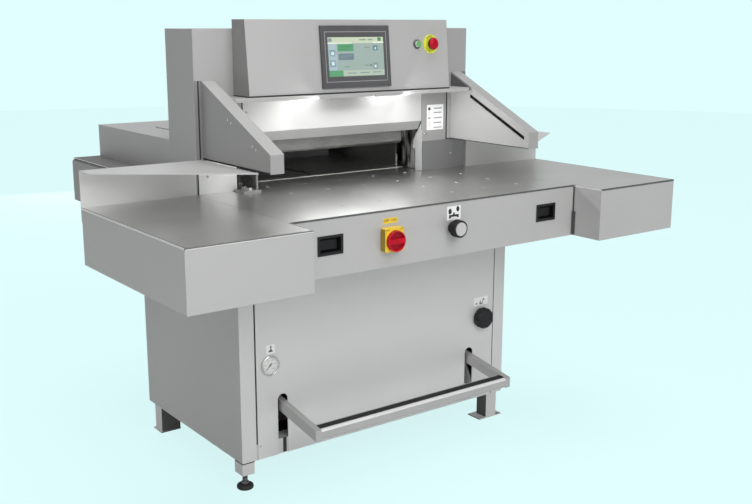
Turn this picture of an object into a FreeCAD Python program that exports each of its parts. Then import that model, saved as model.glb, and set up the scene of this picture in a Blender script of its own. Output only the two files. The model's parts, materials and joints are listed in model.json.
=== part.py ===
"""Electric paper cutter: a free-standing guillotine with a wide front table.

The machine stands on the plane Z = 0.  X runs to the operator's right, Y runs
away from the operator and Z runs up.  The origin is on the floor under the
centre of the machine.  All sizes are millimetres and degrees.
"""
import FreeCAD, Part
import os
import re
import Sketcher

Vector = FreeCAD.Vector
Rotation = FreeCAD.Rotation

# Driving sizes.  A name that ends in _setback is a distance behind the front edge of the wings.
SIZES = {
    # whole machine
    "machine_depth": 1411,
    "running_fit": 0.05,
    "part_gap": 0.3,
    "panel_sheet": 2.5,
    # front table, its two wings and the apron below it
    "table_height": 885,
    "wing_span": 1800,
    "wing_gap": 1080,
    "wing_depth": 645,
    "apron_setback": 116,
    "skirt_height": 165,
    "skirt_flange": 18,
    "top_sheet": 3,
    "shadow_gap": 2,
    "shadow_step": 4,
    "top_seam": 1,
    "bed_thickness": 40,
    "bed_rear_ledge": 8,
    # cabinet
    "cabinet_width": 1070,
    "cabinet_setback": 419,
    "cabinet_depth": 665,
    "cabinet_bottom": 91,
    "corner_strip": 51,
    "door_seam": 5,
    "panel_seam": 1,
    "rail_size": 50,
    "rail_wall": 4,
    "middle_rail_setback": 640,
    "vent_count": 7,
    "vent_length": 180,
    "vent_height": 6,
    "vent_pitch": 22,
    "vent_bottom": 520,
    # feet
    "foot_width": 70,
    "foot_depth": 50,
    "foot_plate": 4,
    "foot_plate_margin": 4,
    "foot_plate_lead": 2,
    "foot_plate_tail": 12,
    "front_foot_width": 48,
    "front_foot_inset": 22,
    "front_plate_reach": 31,
    "rear_foot_inset": 46,
    "levelling_post_width": 42,
    "levelling_post_depth": 49,
    "levelling_post_bottom": 51,
    "levelling_pad_radius": 26,
    "levelling_pad_height": 12,
    "levelling_stem_radius": 8,
    # columns and the head between them
    "column_setback": 649,
    "column_depth": 183,
    "column_top": 492,
    "head_centre": -21,
    "throat_left": 375,
    "throat_right": 338,
    "column_face_left": 490,
    "column_face_right": 448,
    "frame_left": 496,
    "frame_right": 484,
    "frame_thickness": 30,
    "frame_inset": 9,
    "frame_top": 455,
    "front_lip_left": 387,
    "front_lip_right": 345,
    "front_lip_depth": 15,
    "back_lip_left": 430,
    "back_lip_right": 388,
    "back_lip_depth": 19,
    "lip_bottom": 3,
    "lip_top": 377,
    "beam_bottom": 385,
    "beam_height": 60,
    "beam_depth": 73,
    "head_back_bottom": 160,
    # sill, guard and jambs
    "sill_top": 292,
    "sill_thickness": 12,
    "sill_reach": 109,
    "lamp_spacing": 320,
    "lamp_length": 150,
    "lamp_width": 18,
    "lamp_height": 4,
    "lamp_inset": 24,
    "guard_sheet": 2,
    "guard_seam": 4,
    "guard_fold": 177,
    "guard_lip_bottom": 145,
    "guard_lip_reach": 21,
    "jamb_bottom": 105,
    "jamb_flange": 50,
    "jamb_notch": 75,
    "jamb_leg": 37,
    # console with its touch screen and buttons
    "console_left": 403,
    "console_right": 376,
    "console_top": 228,
    "console_setback": 551,
    "console_tilt": 5.4,
    "screen_width": 266,
    "screen_height": 193,
    "screen_proud": 8,
    "screen_rim": 6,
    "screen_thickness": 14,
    "screen_centre": -10,
    "screen_level": -1,
    "screen_margin_side": 24,
    "screen_margin_top": 34.5,
    "screen_glass_thickness": 2,
    "button_level": 35,
    "stop_offset": 300,
    "stop_collar_radius": 31,
    "stop_collar_thickness": 5,
    "stop_cap_radius": 20,
    "stop_cap_height": 26,
    "stop_travel": 5,
    "start_offset": 243,
    "start_collar_radius": 15,
    "start_cap_radius": 11,
    "start_cap_height": 5,
    "start_travel": 3,
    "stem_radius": 8,
    "stem_depth": 12,
    # light curtain arms
    "arm_outer": 512,
    "arm_width": 44,
    "arm_setback": 256,
    "arm_bottom": 107,
    "arm_nose_top": 161,
    "arm_back_top": 341,
    "arm_back_flat": 4,
    "slit_front": 278,
    "slit_back": 548,
    "slit_front_level": 140,
    "slit_back_level": 264,
    "slit_height": 12,
    "curtain_bar_width": 24,
    "curtain_bar_height": 30,
    "curtain_bar_lead": 14,
    "curtain_bar_trim": 8,
    # fences on the table
    "fence_top": 103,
    "fence_sheet": 3,
    "fence_foot": -40,
    "ledge_inner": 520,
    "ledge_outer_setback": 576,
    "ledge_inner_setback": 307,
    "inner_fence_left": 401,
    "inner_fence_right": 340,
    "guide_face": 353,
    "guide_plate": 6,
    "guide_front_setback": 600,
    "guide_back_setback": 690,
    "guide_top": 99,
    "guide_foot_width": 61,
    "guide_foot_thickness": 8,
    "guide_foot_setback": 581,
    "guide_foot_depth": 61,
    # air nozzles in the table
    "nozzle_columns": 6,
    "nozzle_rows": 4,
    "nozzle_first": -286,
    "nozzle_pitch_across": 138,
    "nozzle_pitch_deep": 136,
    "nozzle_setback": 244,
    "nozzle_radius": 5,
    "nozzle_gap": 0.2,
    # knife and clamp
    "knife_setback": 770,
    "blade_thickness": 12,
    "blade_left": 393,
    "blade_right": 387,
    "blade_edge": 107,
    "blade_top": 225,
    "blade_bevel": 23,
    "carrier_bottom": 155,
    "carrier_top": 265,
    "carrier_thickness": 24,
    "carrier_left": 455,
    "carrier_right": 450,
    "shoe_gap": 3,
    "guide_gap": 0.4,
    "knife_slant": 20,
    "knife_ram_radius": 16,
    "knife_ram_top": 433,
    "knife_barrel_wall": 4,
    "knife_barrel_bottom": 295,
    "saddle_width": 60,
    "saddle_inset": 4,
    "clamp_bottom": 95,
    "clamp_top": 195,
    "clamp_depth": 42,
    "clamp_gap": 2,
    "clamp_half_width": 327,
    "clamp_chamfer": 8,
    "clamp_ram_spacing": 500,
    "clamp_ram_radius": 14,
    "clamp_ram_top": 377,
    "clamp_barrel_wall": 11,
    "clamp_barrel_bottom": 255,
    "stick_width": 18,
    "stick_depth": 14,
    "stick_front_share": 6,
    # rear table, its tray and its cover
    "rear_plate": 12,
    "rear_table_depth": 613,
    "rear_slot_width": 20,
    "rear_guide_half": 387,
    "rear_guide_sheet": 6,
    "rear_guide_length": 370,
    "rear_guide_height": 91,
    "tray_half_width": 639,
    "tray_top": 41,
    "tray_bottom": -110,
    "tray_bevel": 12,
    "tray_rim": 15,
    "cover_half_width": 535,
    "cover_top": 152,
    "lid_half_width": 413,
    "lid_setback": 850,
    "lid_depth": 345,
    "lid_sheet": 3,
    "lid_overlap": 12,
    "hinge_height": 6,
    "hinge_lead": 4,
    "hinge_radius": 5,
    "hinge_pin_radius": 2.5,
    "hinge_offset": 300,
    "hinge_knuckle": 40,
    # back gauge and its drive
    "gauge_setback": 1190,
    "gauge_stroke": 378,
    "gauge_half_width": 330,
    "gauge_plate": 12,
    "gauge_height": 88,
    "gauge_slot_count": 8,
    "gauge_slot_width": 12,
    "gauge_slot_height": 50,
    "gauge_block_depth": 40,
    "gauge_block_width": 60,
    "gauge_neck_width": 18,
    "screw_level": -53,
    "screw_radius": 10,
    "screw_front_setback": 793,
    "screw_length": 502,
    "lug_width": 70,
    "lug_bottom": -88,
    "lug_thickness": 12,
    "motor_radius": 34,
    "motor_length": 95,
    # parts inside the cabinet
    "tank_left": 380,
    "tank_width": 320,
    "tank_height": 230,
    "tank_setback": 660,
    "tank_depth": 410,
    "tank_wall": 4,
    "pump_radius": 75,
    "pump_length": 260,
    "pump_foot_width": 110,
    "blower_left": 90,
    "blower_length": 160,
    "blower_radius": 110,
    "blower_setback": 860,
    "blower_foot_depth": 440,
    # apron controls
    "cut_offset": 413,
    "cut_level": -76,
    "cut_width": 84,
    "cut_height": 55,
    "cut_proud": 2,
    "cut_depth": 46,
    "cut_wall": 8,
    "cut_recess": 26,
    "cut_cap_width": 56,
    "cut_cap_height": 28,
    "cut_cap_thickness": 12,
    "cut_travel": 4,
    "cut_stem_radius": 6,
    "switch_offset": 209,
    "switch_level": -83,
    "switch_size": 68,
    "switch_depth": 21,
    "switch_corner": 6,
    "switch_knob_radius": 30,
    "switch_knob_height": 13,
    "switch_knob_drop": 3,
    "switch_knob_rim": 4,
    "switch_grip_width": 16,
    "switch_grip_depth": 7,
    "wheel_offset": 22,
    "wheel_level": -78,
    "wheel_radius": 26,
    "wheel_depth": 40,
    "wheel_cap_radius": 20.5,
    "wheel_cap_depth": 4,
    "spindle_radius": 6,
    # cabinet front: gauge, knob and pedal
    "dial_offset": 432,
    "dial_level": 386,
    "dial_radius": 31.5,
    "dial_ring": 4,
    "dial_proud": 8,
    "dial_recess": 5,
    "dial_case_radius": 26,
    "dial_case_depth": 30,
    "glass_thickness": 1.5,
    "needle_rest": 135,
    "needle_length": 20,
    "needle_width": 2.4,
    "needle_thickness": 1,
    "needle_hub_radius": 3,
    "knob_offset": 426,
    "knob_level": 388,
    "knob_radius": 36,
    "knob_depth": 31,
    "knob_lobes": 8,
    "knob_groove": 7,
    "spindle_depth": 40,
    "pedal_centre": -8,
    "pedal_half_width": 391,
    "pedal_arm_width": 20,
    "pedal_arm_height": 34,
    "pedal_bar_setback": 220,
    "pedal_bar_depth": 42,
    "pedal_top": 232,
    "pedal_bar_round": 9,
    "pedal_wall": 5,
    "pedal_pivot_setback": 520,
    "pedal_pivot_level": 266,
    "pedal_shaft_radius": 10,
    "pedal_boss_radius": 20,
    "pedal_slot_half": 17.5,
    "pedal_slot_top": 286,
    "bracket_gap": 8,
    "bracket_thickness": 10,
    "bracket_width": 40,
    "tread_height": 3,
    "tread_front_inset": 10,
    "tread_depth": 24,
    # small hardware
    "screw_head_radius": 4,
    "screw_head_height": 2.5,
    "arm_screw_lead": 56,
    "arm_screw_pitch": 20,
    "side_screw_rear_inset": 104,
    "side_screw_pitch": 32,
    "side_screw_front_inset": 122,
    "side_screw_rise": 26,
    "fence_screw_left": 502,
    "fence_screw_right": 469,
    "fence_screw_drop": 49,
    "door_screw_inset": 8,
    "door_screw_rise": 43,
    "guard_screw_inset": 13,
    "guard_screw_level": 240,
    "jamb_hook_inset": 14,
    "jamb_hook_level": 133,
    "guide_bolt_radius": 9,
    "guide_bolt_height": 8,
    "hook_radius": 5,
    "gland_radius": 16,
    "gland_length": 22,
    "gland_bore": 8,
    "gland_offset": 420,
    "gland_level": 180,
}

# Where a level is measured from: the table top, the sill or the middle of the console's height.
# A level that is in neither list is measured from the floor.
TABLE_LEVELS = (
    "fence_top", "fence_foot", "guide_top", "sill_top", "guard_fold", "guard_lip_bottom",
    "jamb_bottom", "jamb_notch", "lip_bottom", "lip_top", "beam_bottom", "head_back_bottom",
    "column_top", "frame_top", "arm_bottom", "arm_nose_top", "arm_back_top", "slit_front_level",
    "slit_back_level", "blade_edge", "blade_top", "carrier_bottom", "carrier_top", "knife_ram_top",
    "knife_barrel_bottom", "clamp_bottom", "clamp_top", "clamp_ram_top", "clamp_barrel_bottom",
    "tray_top", "tray_bottom", "cover_top", "screw_level", "lug_bottom", "cut_level", "switch_level",
    "wheel_level", "guard_screw_level", "jamb_hook_level",
)
CONSOLE_MIDDLE = "(sill_top + console_top) / 2"
MEASURED_FROM = {name: "table_height" for name in TABLE_LEVELS}
MEASURED_FROM.update(console_top="sill_top", screen_level=CONSOLE_MIDDLE, button_level=CONSOLE_MIDDLE)

doc = FreeCAD.newDocument("paper_cutter")
sheet = doc.addObject("Spreadsheet::Sheet", "sizes")
for row, (alias, value) in enumerate(SIZES.items(), start=1):
    sheet.set(f"A{row}", alias)
    sheet.set(f"B{row}", str(value))
    sheet.setAlias(f"B{row}", alias)
doc.recompute()

WORD = re.compile(r"[a-z][a-z_]*")
FUNCTIONS = {"sin", "cos", "tan"}
parts = []


# Expressions

def cells(text):
    """Turn the size names in an expression into references to the sheet's cells."""
    return WORD.sub(cell, str(text))


def cell(word):
    """The sheet's cell of one size name; a level is added to what it is measured from."""
    name = word[0]
    if name in FUNCTIONS:
        return name
    if name in MEASURED_FROM:
        return f"({cells(MEASURED_FROM[name])} + sizes.{name})"
    return "sizes." + name


def size(text):
    """The present number of an expression."""
    return float(sheet.evalExpression(cells(text)))


def bind(thing, prop, text):
    """Bind one property to an expression of size names."""
    thing.setExpression(prop, cells(text))


def place(thing, x, y, z, axis=None, angle=None):
    """Bind where an object stands, and how far it is turned about a fixed axis."""
    if axis is not None:
        thing.Placement = FreeCAD.Placement(Vector(), Rotation(axis, 1))
        bind(thing, "Placement.Rotation.Angle", angle)
    for name, text in (("x", x), ("y", y), ("z", z)):
        bind(thing, f"Placement.Base.{name}", text)
    return thing


def part(label, thing):
    """Name a finished sub-part and keep it for the hand-over."""
    thing.Label = label
    parts.append(thing)
    return thing


# Building blocks

def block(name, x, y, z):
    """A rectangular block between two planes on each axis."""
    solid = doc.addObject("Part::Box", name)
    bind(solid, "Length", f"({x[1]}) - ({x[0]})")
    bind(solid, "Width", f"({y[1]}) - ({y[0]})")
    bind(solid, "Height", f"({z[1]}) - ({z[0]})")
    return place(solid, x[0], y[0], z[0])


def rod(name, axis, centre, radius, low, high):
    """A round bar along one axis between two planes; centre gives the other two coordinates."""
    solid = doc.addObject("Part::Cylinder", name)
    bind(solid, "Radius", radius)
    bind(solid, "Height", f"({high}) - ({low})")
    if axis == "z":
        return place(solid, centre[0], centre[1], low)
    if axis == "y":
        return place(solid, centre[0], low, centre[1], Vector(-1, 0, 0), "90")
    return place(solid, low, centre[0], centre[1], Vector(0, 1, 0), "90")


def cut(name, base, *tools):
    """One solid with others taken away."""
    tool = tools[0] if len(tools) == 1 else group(name + "_tools", *tools)
    result = doc.addObject("Part::Cut", name)
    result.Base = base
    result.Tool = tool
    return result


def fuse(name, *solids):
    """Solids joined to one."""
    result = doc.addObject("Part::MultiFuse", name)
    result.Shapes = list(solids)
    return result


def common(name, one, other):
    """What two solids share."""
    result = doc.addObject("Part::Common", name)
    result.Base = one
    result.Tool = other
    return result


def group(name, *solids):
    """Separate solids kept together."""
    result = doc.addObject("Part::Compound", name)
    result.Links = list(solids)
    return result


def outline(body, plane, points, name):
    """A closed sketch with straight sides on one of the body's own planes."""
    sketch = body.newObject("Sketcher::SketchObject", name)
    base = [feature for feature in body.Origin.OriginFeatures if feature.Role == plane]
    sketch.AttachmentSupport = (base[0], [""])
    sketch.MapMode = "FlatFace"
    corners = [Vector(size(u), size(v), 0) for u, v in points]
    count = len(corners)
    for index in range(count):
        sketch.addGeometry(Part.LineSegment(corners[index], corners[(index + 1) % count]))
    for index in range(count):
        follower = (index + 1) % count
        sketch.addConstraint(Sketcher.Constraint("Coincident", index, 2, follower, 1))
    for index, (u, v) in enumerate(points):
        for kind, letter, text, value in (
            ("DistanceX", "u", u, corners[index].x),
            ("DistanceY", "v", v, corners[index].y),
        ):
            number = sketch.addConstraint(Sketcher.Constraint(kind, -1, 1, index, 1, value))
            sketch.renameConstraint(number, f"{letter}{index}")
            bind(sketch, f"Constraints.{letter}{index}", text)
    return sketch


def profile(name, plane, points, low, high):
    """A body whose outline on an origin plane is carried between two places along the third axis."""
    body = doc.addObject("PartDesign::Body", name)
    sketch = outline(body, plane, points, name + "_outline")
    start = f"0 - ({high})" if plane == "XZ_Plane" else low
    bind(sketch, "AttachmentOffset.Base.z", start)
    pad = body.newObject("PartDesign::Pad", name + "_pad")
    pad.Profile = sketch
    bind(pad, "Length", f"({high}) - ({low})")
    return body


def turned(name, points):
    """A body turned about its own Z axis from an outline of radius and height."""
    body = doc.addObject("PartDesign::Body", name)
    sketch = outline(body, "XZ_Plane", points, name + "_outline")
    spin = body.newObject("PartDesign::Revolution", name + "_turn")
    spin.Profile = sketch
    spin.ReferenceAxis = (sketch, ["V_Axis"])
    spin.Angle = 360
    return body


def round_edges(body, radius, wanted):
    """Round the edges of a body that a test on their end points picks."""
    doc.recompute()
    base = body.Tip
    names = []
    for index, edge in enumerate(base.Shape.Edges, start=1):
        if wanted(edge):
            names.append(f"Edge{index}")
    fillet = body.newObject("PartDesign::Fillet", body.Name + "_round")
    fillet.Base = (base, names)
    bind(fillet, "Radius", radius)
    body.Tip = fillet
    return body


def tube(name, x, y, z, wall, axis):
    """A hollow rectangular rail, open at both ends along one axis."""
    inner = []
    for letter, (low, high) in zip("xyz", (x, y, z)):
        margin = "0" if letter == axis else wall
        inner.append((f"{low} + {margin}", f"{high} - {margin}"))
    return cut(name, block(name + "_outer", x, y, z), block(name + "_inner", *inner))


# Named planes

FRONT = "(0 - machine_depth / 2)"


def behind(setback):
    """The Y place of a distance behind the front edge of the wings."""
    return f"({FRONT} + {setback})"


TABLE = "table_height"
SHEET = "panel_sheet"
SKIRT_BOTTOM = "(table_height - skirt_height)"
SKIRT_TOP = "(table_height - top_sheet - shadow_gap)"
SHEET_BOTTOM = "(table_height - top_sheet)"
BED_BOTTOM = "(table_height - top_sheet - bed_thickness)"
WING_OUT = "(wing_span / 2)"
WING_IN = "(wing_gap / 2)"
SIDE = "(cabinet_width / 2)"
CABINET_FRONT = behind("cabinet_setback")
CABINET_BACK = behind("(cabinet_setback + cabinet_depth)")
RAIL_TOP = "(cabinet_bottom + rail_size)"
COLUMN_FRONT = behind("column_setback")
COLUMN_BACK = behind("(column_setback + column_depth)")
APRON_FRONT = behind("apron_setback")
KNIFE = behind("knife_setback")
BLADE_BACK = behind("(knife_setback + blade_thickness)")
CARRIER_BACK = behind("(knife_setback + blade_thickness + carrier_thickness)")
CLAMP_BACK = behind("(knife_setback - clamp_gap)")
CLAMP_MIDDLE = behind("(knife_setback - clamp_gap - clamp_depth / 2)")
MACHINE_BACK = behind("machine_depth")
FRAME_BACK = behind("(column_setback + column_depth - frame_inset + 2)")
BEAM_BACK = behind("(knife_setback + part_gap)")
STICK_FRONT = behind("(knife_setback - stick_front_share)")
STICK_BACK = behind("(knife_setback - stick_front_share + stick_width)")


def mirrored(x, side):
    """A span on the right hand, or the same span on the left."""
    return (x[0], x[1]) if side > 0 else (f"0 - {x[1]}", f"0 - {x[0]}")


# Base frame and feet

def base_frame():
    """Side rails, three cross rails, and the posts that carry them."""
    rail_z = ("cabinet_bottom", RAIL_TOP)
    rail_y = (f"{CABINET_FRONT} + {SHEET}", f"{CABINET_BACK} - {SHEET}")
    outer = f"({SIDE} - {SHEET})"
    inner = f"({SIDE} - {SHEET} - rail_size)"
    pieces = []
    for side, hand in ((-1, "left"), (1, "right")):
        span = mirrored((inner, outer), side)
        pieces.append(tube(f"rail_{hand}", span, rail_y, rail_z, "rail_wall", "y"))
    starts = {
        "front": f"{CABINET_FRONT} + {SHEET}",
        "middle": behind("middle_rail_setback"),
        "rear": f"{CABINET_BACK} - {SHEET} - rail_size",
    }
    for where, start in starts.items():
        span_y = (start, f"{start} + rail_size")
        pieces.append(tube(f"rail_{where}", (f"0 - {inner}", inner), span_y, rail_z, "rail_wall", "x"))
    post_y = (CABINET_FRONT, f"{CABINET_FRONT} + levelling_post_depth")
    pieces.append(block(
        "levelling_post",
        (f"0 - {SIDE}", f"0 - {SIDE} + levelling_post_width"),
        post_y,
        ("levelling_post_bottom", "cabinet_bottom"),
    ))
    rear = f"{CABINET_BACK} - rear_foot_inset - foot_depth"
    front = f"{CABINET_FRONT} + foot_plate_lead"
    for name, side, start, width, inset, reach in (
        ("front_right", 1, front, "front_foot_width", "front_foot_inset", "front_plate_reach"),
        ("rear_left", -1, rear, "foot_width", "0", "0"),
        ("rear_right", 1, rear, "foot_width", "0", "0"),
    ):
        inner_x = f"({SIDE} - {inset} - {width}"
        post = block(
            f"post_{name}",
            mirrored((f"{inner_x})", f"({SIDE} - {inset})"), side),
            (start, f"{start} + foot_depth"),
            ("foot_plate", "cabinet_bottom"),
        )
        plate = block(
            f"plate_{name}",
            mirrored((f"{inner_x} - {reach})", f"({SIDE} + foot_plate_margin)"), side),
            (f"{start} - foot_plate_lead", f"{start} + foot_depth + foot_plate_tail"),
            ("0", "foot_plate"),
        )
        pieces.append(fuse(f"foot_{name}", post, plate))
    part("base_frame", group("base_frame", *pieces))


def levelling_foot():
    """Pad and threaded stem of the one foot that screws up and down."""
    foot = turned("levelling_foot", [
        ("0", "0"),
        ("levelling_pad_radius - 3", "0"),
        ("levelling_pad_radius", "3"),
        ("levelling_pad_radius", "levelling_pad_height - 3"),
        ("levelling_pad_radius - 8", "levelling_pad_height + 3"),
        ("levelling_stem_radius + 4", "levelling_pad_height + 5"),
        ("levelling_stem_radius + 4", "levelling_pad_height + 12"),
        ("levelling_stem_radius", "levelling_pad_height + 12"),
        ("levelling_stem_radius", "levelling_post_bottom"),
        ("0", "levelling_post_bottom"),
    ])
    place(
        foot,
        f"0 - {SIDE} + levelling_post_width / 2",
        f"{CABINET_FRONT} + levelling_post_depth / 2",
        "0",
    )
    part("levelling_foot", foot)


# Cabinet

def cabinet_sides():
    """Two folded side panels with their front corner strips."""
    tall = [
        (CABINET_FRONT, "cabinet_bottom"),
        (CABINET_BACK, "cabinet_bottom"),
        (CABINET_BACK, "tray_bottom"),
        (COLUMN_BACK, "tray_bottom"),
        (COLUMN_BACK, BED_BOTTOM),
        (CABINET_FRONT, BED_BOTTOM),
    ]
    pieces = []
    for side, hand in ((-1, "left"), (1, "right")):
        wall_x = mirrored((f"({SIDE} - {SHEET})", SIDE), side)
        strip_x = mirrored((f"({SIDE} - corner_strip)", SIDE), side)
        wall = profile(f"side_wall_{hand}", "YZ_Plane", tall, *wall_x)
        strip = block(
            f"corner_strip_{hand}",
            strip_x,
            (CABINET_FRONT, f"{CABINET_FRONT} + {SHEET}"),
            ("cabinet_bottom", BED_BOTTOM),
        )
        pieces.append(fuse(f"cabinet_side_{hand}", wall, strip))
    part("cabinet_sides", group("cabinet_sides", *pieces))


def pedal_arm_centre(side):
    """The middle of one pedal arm."""
    return f"(pedal_centre + {side} * (pedal_half_width - pedal_arm_width / 2))"


def front_panel():
    """The door panel, with two round-topped slots for the pedal's arms."""
    span_y = (CABINET_FRONT, f"{CABINET_FRONT} + {SHEET}")
    panel = block(
        "front_sheet",
        (f"0 - {SIDE} + corner_strip + door_seam", f"{SIDE} - corner_strip - panel_seam"),
        span_y,
        ("cabinet_bottom", BED_BOTTOM),
    )
    tools = []
    reach_y = (f"{CABINET_FRONT} - 1", f"{CABINET_FRONT} + {SHEET} + 1")
    for side, hand in ((-1, "left"), (1, "right")):
        middle = pedal_arm_centre(side)
        round_level = "(pedal_slot_top - pedal_slot_half)"
        tools.append(block(
            f"slot_{hand}",
            (f"{middle} - pedal_slot_half", f"{middle} + pedal_slot_half"),
            reach_y,
            ("cabinet_bottom - 1", round_level),
        ))
        tools.append(rod(f"slot_top_{hand}", "y", (middle, round_level), "pedal_slot_half", *reach_y))
    for name, x, z, radius in (
        ("dial", "0 - dial_offset", "dial_level", "dial_case_radius + part_gap"),
        ("knob", "knob_offset", "knob_level", "spindle_radius + running_fit"),
    ):
        tools.append(rod(f"{name}_hole", "y", (x, z), radius, *reach_y))
    part("front_panel", cut("front_panel", panel, *tools))


def rear_panel():
    """The back wall with a row of vents and the hole for the mains inlet."""
    span_x = (f"0 - {SIDE} + {SHEET}", f"{SIDE} - {SHEET}")
    panel = block("rear_sheet", span_x, (f"{CABINET_BACK} - {SHEET}", CABINET_BACK),
                  ("cabinet_bottom", "tray_bottom"))
    reach_y = (f"{CABINET_BACK} - {SHEET} - 1", f"{CABINET_BACK} + 1")
    tools = []
    for index in range(int(size("vent_count"))):
        level = f"(vent_bottom + {index} * vent_pitch)"
        tools.append(block(f"vent_{index}", ("0 - vent_length / 2", "vent_length / 2"), reach_y,
                           (level, f"{level} + vent_height")))
    tools.append(rod("inlet_hole", "y", ("gland_offset", "gland_level"), "gland_bore + 4", *reach_y))
    part("rear_panel", cut("rear_panel", panel, *tools))


def cable_gland():
    """The mains inlet on the back wall."""
    gland = turned("cable_gland", [
        ("gland_bore", "0"),
        ("gland_radius", "0"),
        ("gland_radius", "gland_length / 2"),
        ("gland_radius - 3", "gland_length"),
        ("gland_bore", "gland_length"),
    ])
    place(gland, "gland_offset", CABINET_BACK, "gland_level", Vector(-1, 0, 0), "90")
    part("cable_gland", gland)


# Table

def table_bed():
    """The cast bed under the front table, narrower between the columns."""
    front_y = behind("(apron_setback + panel_sheet)")
    step_y = behind("(column_setback + frame_inset)")
    back_y = f"({STICK_BACK} + bed_rear_ledge)"
    bed = profile("bed_casting", "XY_Plane", [
        (f"0 - {WING_IN}", front_y),
        (WING_IN, front_y),
        (WING_IN, step_y),
        ("frame_right", step_y),
        ("frame_right", back_y),
        ("0 - frame_left", back_y),
        ("0 - frame_left", step_y),
        (f"0 - {WING_IN}", step_y),
    ], BED_BOTTOM, SHEET_BOTTOM)
    wide = (f"0 - {WING_IN}", WING_IN)
    groove = block("stick_groove", wide, (STICK_FRONT, STICK_BACK), ("table_height - stick_depth", TABLE))
    seat = block("rear_table_seat", wide, (STICK_BACK, f"{back_y} + 1"), ("table_height - rear_plate", TABLE))
    part("table_bed", cut("table_bed", bed, groove, seat))


def cutting_stick():
    """The plastic strip that the knife closes on."""
    part("cutting_stick", block(
        "cutting_stick",
        ("0 - frame_left + part_gap", "frame_right - part_gap"),
        (STICK_FRONT, STICK_BACK),
        ("table_height - stick_depth", TABLE),
    ))


def nozzle_places():
    """The air nozzles' grid; the place beside the right fence stays empty."""
    columns = int(size("nozzle_columns"))
    rows = int(size("nozzle_rows"))
    for column in range(columns):
        for line in range(rows):
            if column == columns - 1 and line == rows - 1:
                continue
            x = f"(nozzle_first + {column} * nozzle_pitch_across)"
            y = behind(f"(nozzle_setback + {line} * nozzle_pitch_deep)")
            yield f"{column}_{line}", x, y


def centre_table():
    """The polished top sheet and the air nozzles that stand in it."""
    top = profile("centre_sheet", "XY_Plane", [
        (f"0 - {WING_IN} + top_seam / 2", APRON_FRONT),
        (f"{WING_IN} - top_seam / 2", APRON_FRONT),
        (f"{WING_IN} - top_seam / 2", COLUMN_FRONT),
        ("column_face_right - part_gap", COLUMN_FRONT),
        ("column_face_right - part_gap", f"{STICK_FRONT} - part_gap"),
        ("0 - column_face_left + part_gap", f"{STICK_FRONT} - part_gap"),
        ("0 - column_face_left + part_gap", COLUMN_FRONT),
        (f"0 - {WING_IN} + top_seam / 2", COLUMN_FRONT),
    ], SHEET_BOTTOM, TABLE)
    holes = []
    nozzles = []
    for name, x, y in nozzle_places():
        holes.append(rod(f"nozzle_hole_{name}", "z", (x, y), "nozzle_radius + nozzle_gap",
                         f"{SHEET_BOTTOM} - 1", f"{TABLE} + 1"))
        nozzles.append(rod(f"nozzle_{name}", "z", (x, y), "nozzle_radius", SHEET_BOTTOM, TABLE))
    part("centre_table_top", cut("centre_table_top", top, *holes))
    part("air_nozzles", group("air_nozzles", *nozzles))


def wings():
    """Top sheets and folded skirts of the two side wings."""
    tops = []
    skirts = []
    step = "shadow_step"
    span_y = (FRONT, behind("wing_depth"))
    for side, hand in ((-1, "left"), (1, "right")):
        tops.append(block(
            f"wing_sheet_{hand}",
            mirrored((f"({WING_IN} + top_seam / 2)", WING_OUT), side),
            span_y,
            (SHEET_BOTTOM, TABLE),
        ))
        outer = block(
            f"skirt_outer_{hand}",
            mirrored((WING_IN, WING_OUT), side),
            span_y,
            (SKIRT_BOTTOM, SKIRT_TOP),
        )
        rim = block(
            f"skirt_rim_{hand}",
            mirrored((f"({WING_IN} + {step})", f"({WING_OUT} - {step})"), side),
            (f"{FRONT} + {step}", f"{behind('wing_depth')} - {step}"),
            (SKIRT_TOP, SHEET_BOTTOM),
        )
        wall = f"({step} + {SHEET})"
        hollow = block(
            f"skirt_hollow_{hand}",
            mirrored((f"({WING_IN} + {wall})", f"({WING_OUT} - {wall})"), side),
            (f"{FRONT} + {wall}", f"{behind('wing_depth')} - {wall}"),
            (f"{SKIRT_BOTTOM} + {SHEET}", TABLE),
        )
        mouth = block(
            f"skirt_mouth_{hand}",
            mirrored((f"({WING_IN} + skirt_flange)", f"({WING_OUT} - skirt_flange)"), side),
            (f"{FRONT} + skirt_flange", f"{behind('wing_depth')} - skirt_flange"),
            (f"{SKIRT_BOTTOM} - 1", f"{SKIRT_BOTTOM} + {SHEET} + 1"),
        )
        skirts.append(cut(f"skirt_{hand}", fuse(f"skirt_body_{hand}", outer, rim), hollow, mouth))
    part("wing_tops", group("wing_tops", *tops))
    part("wing_skirts", group("wing_skirts", *skirts))


def apron():
    """Front apron with openings for its controls, and the pan that closes the table's underside."""
    wide = (f"0 - {WING_IN} + part_gap", f"{WING_IN} - part_gap")
    face = block("apron_face", wide, (APRON_FRONT, f"{APRON_FRONT} + {SHEET}"), (SKIRT_BOTTOM, SKIRT_TOP))
    pan = block("apron_pan", wide, (APRON_FRONT, CABINET_FRONT),
                (SKIRT_BOTTOM, f"{SKIRT_BOTTOM} + {SHEET}"))
    reach_y = (f"{APRON_FRONT} - 1", f"{APRON_FRONT} + {SHEET} + 1")
    tools = []
    for side, hand in ((-1, "left"), (1, "right")):
        middle = f"({side} * cut_offset)"
        tools.append(block(
            f"cut_hole_{hand}",
            (f"{middle} - cut_width / 2 + cut_wall / 2", f"{middle} + cut_width / 2 - cut_wall / 2"),
            reach_y,
            ("cut_level - cut_height / 2 + cut_wall / 2", "cut_level + cut_height / 2 - cut_wall / 2"),
        ))
    tools.append(rod("wheel_hole", "y", ("wheel_offset", "wheel_level"),
                     "spindle_radius + running_fit", *reach_y))
    tools.append(rod("switch_hole", "y", ("0 - switch_offset", "(switch_level - switch_knob_drop)"),
                     "spindle_radius + 1", *reach_y))
    part("apron", cut("apron", fuse("apron_sheet", face, pan), *tools))


# Controls on the apron

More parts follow.
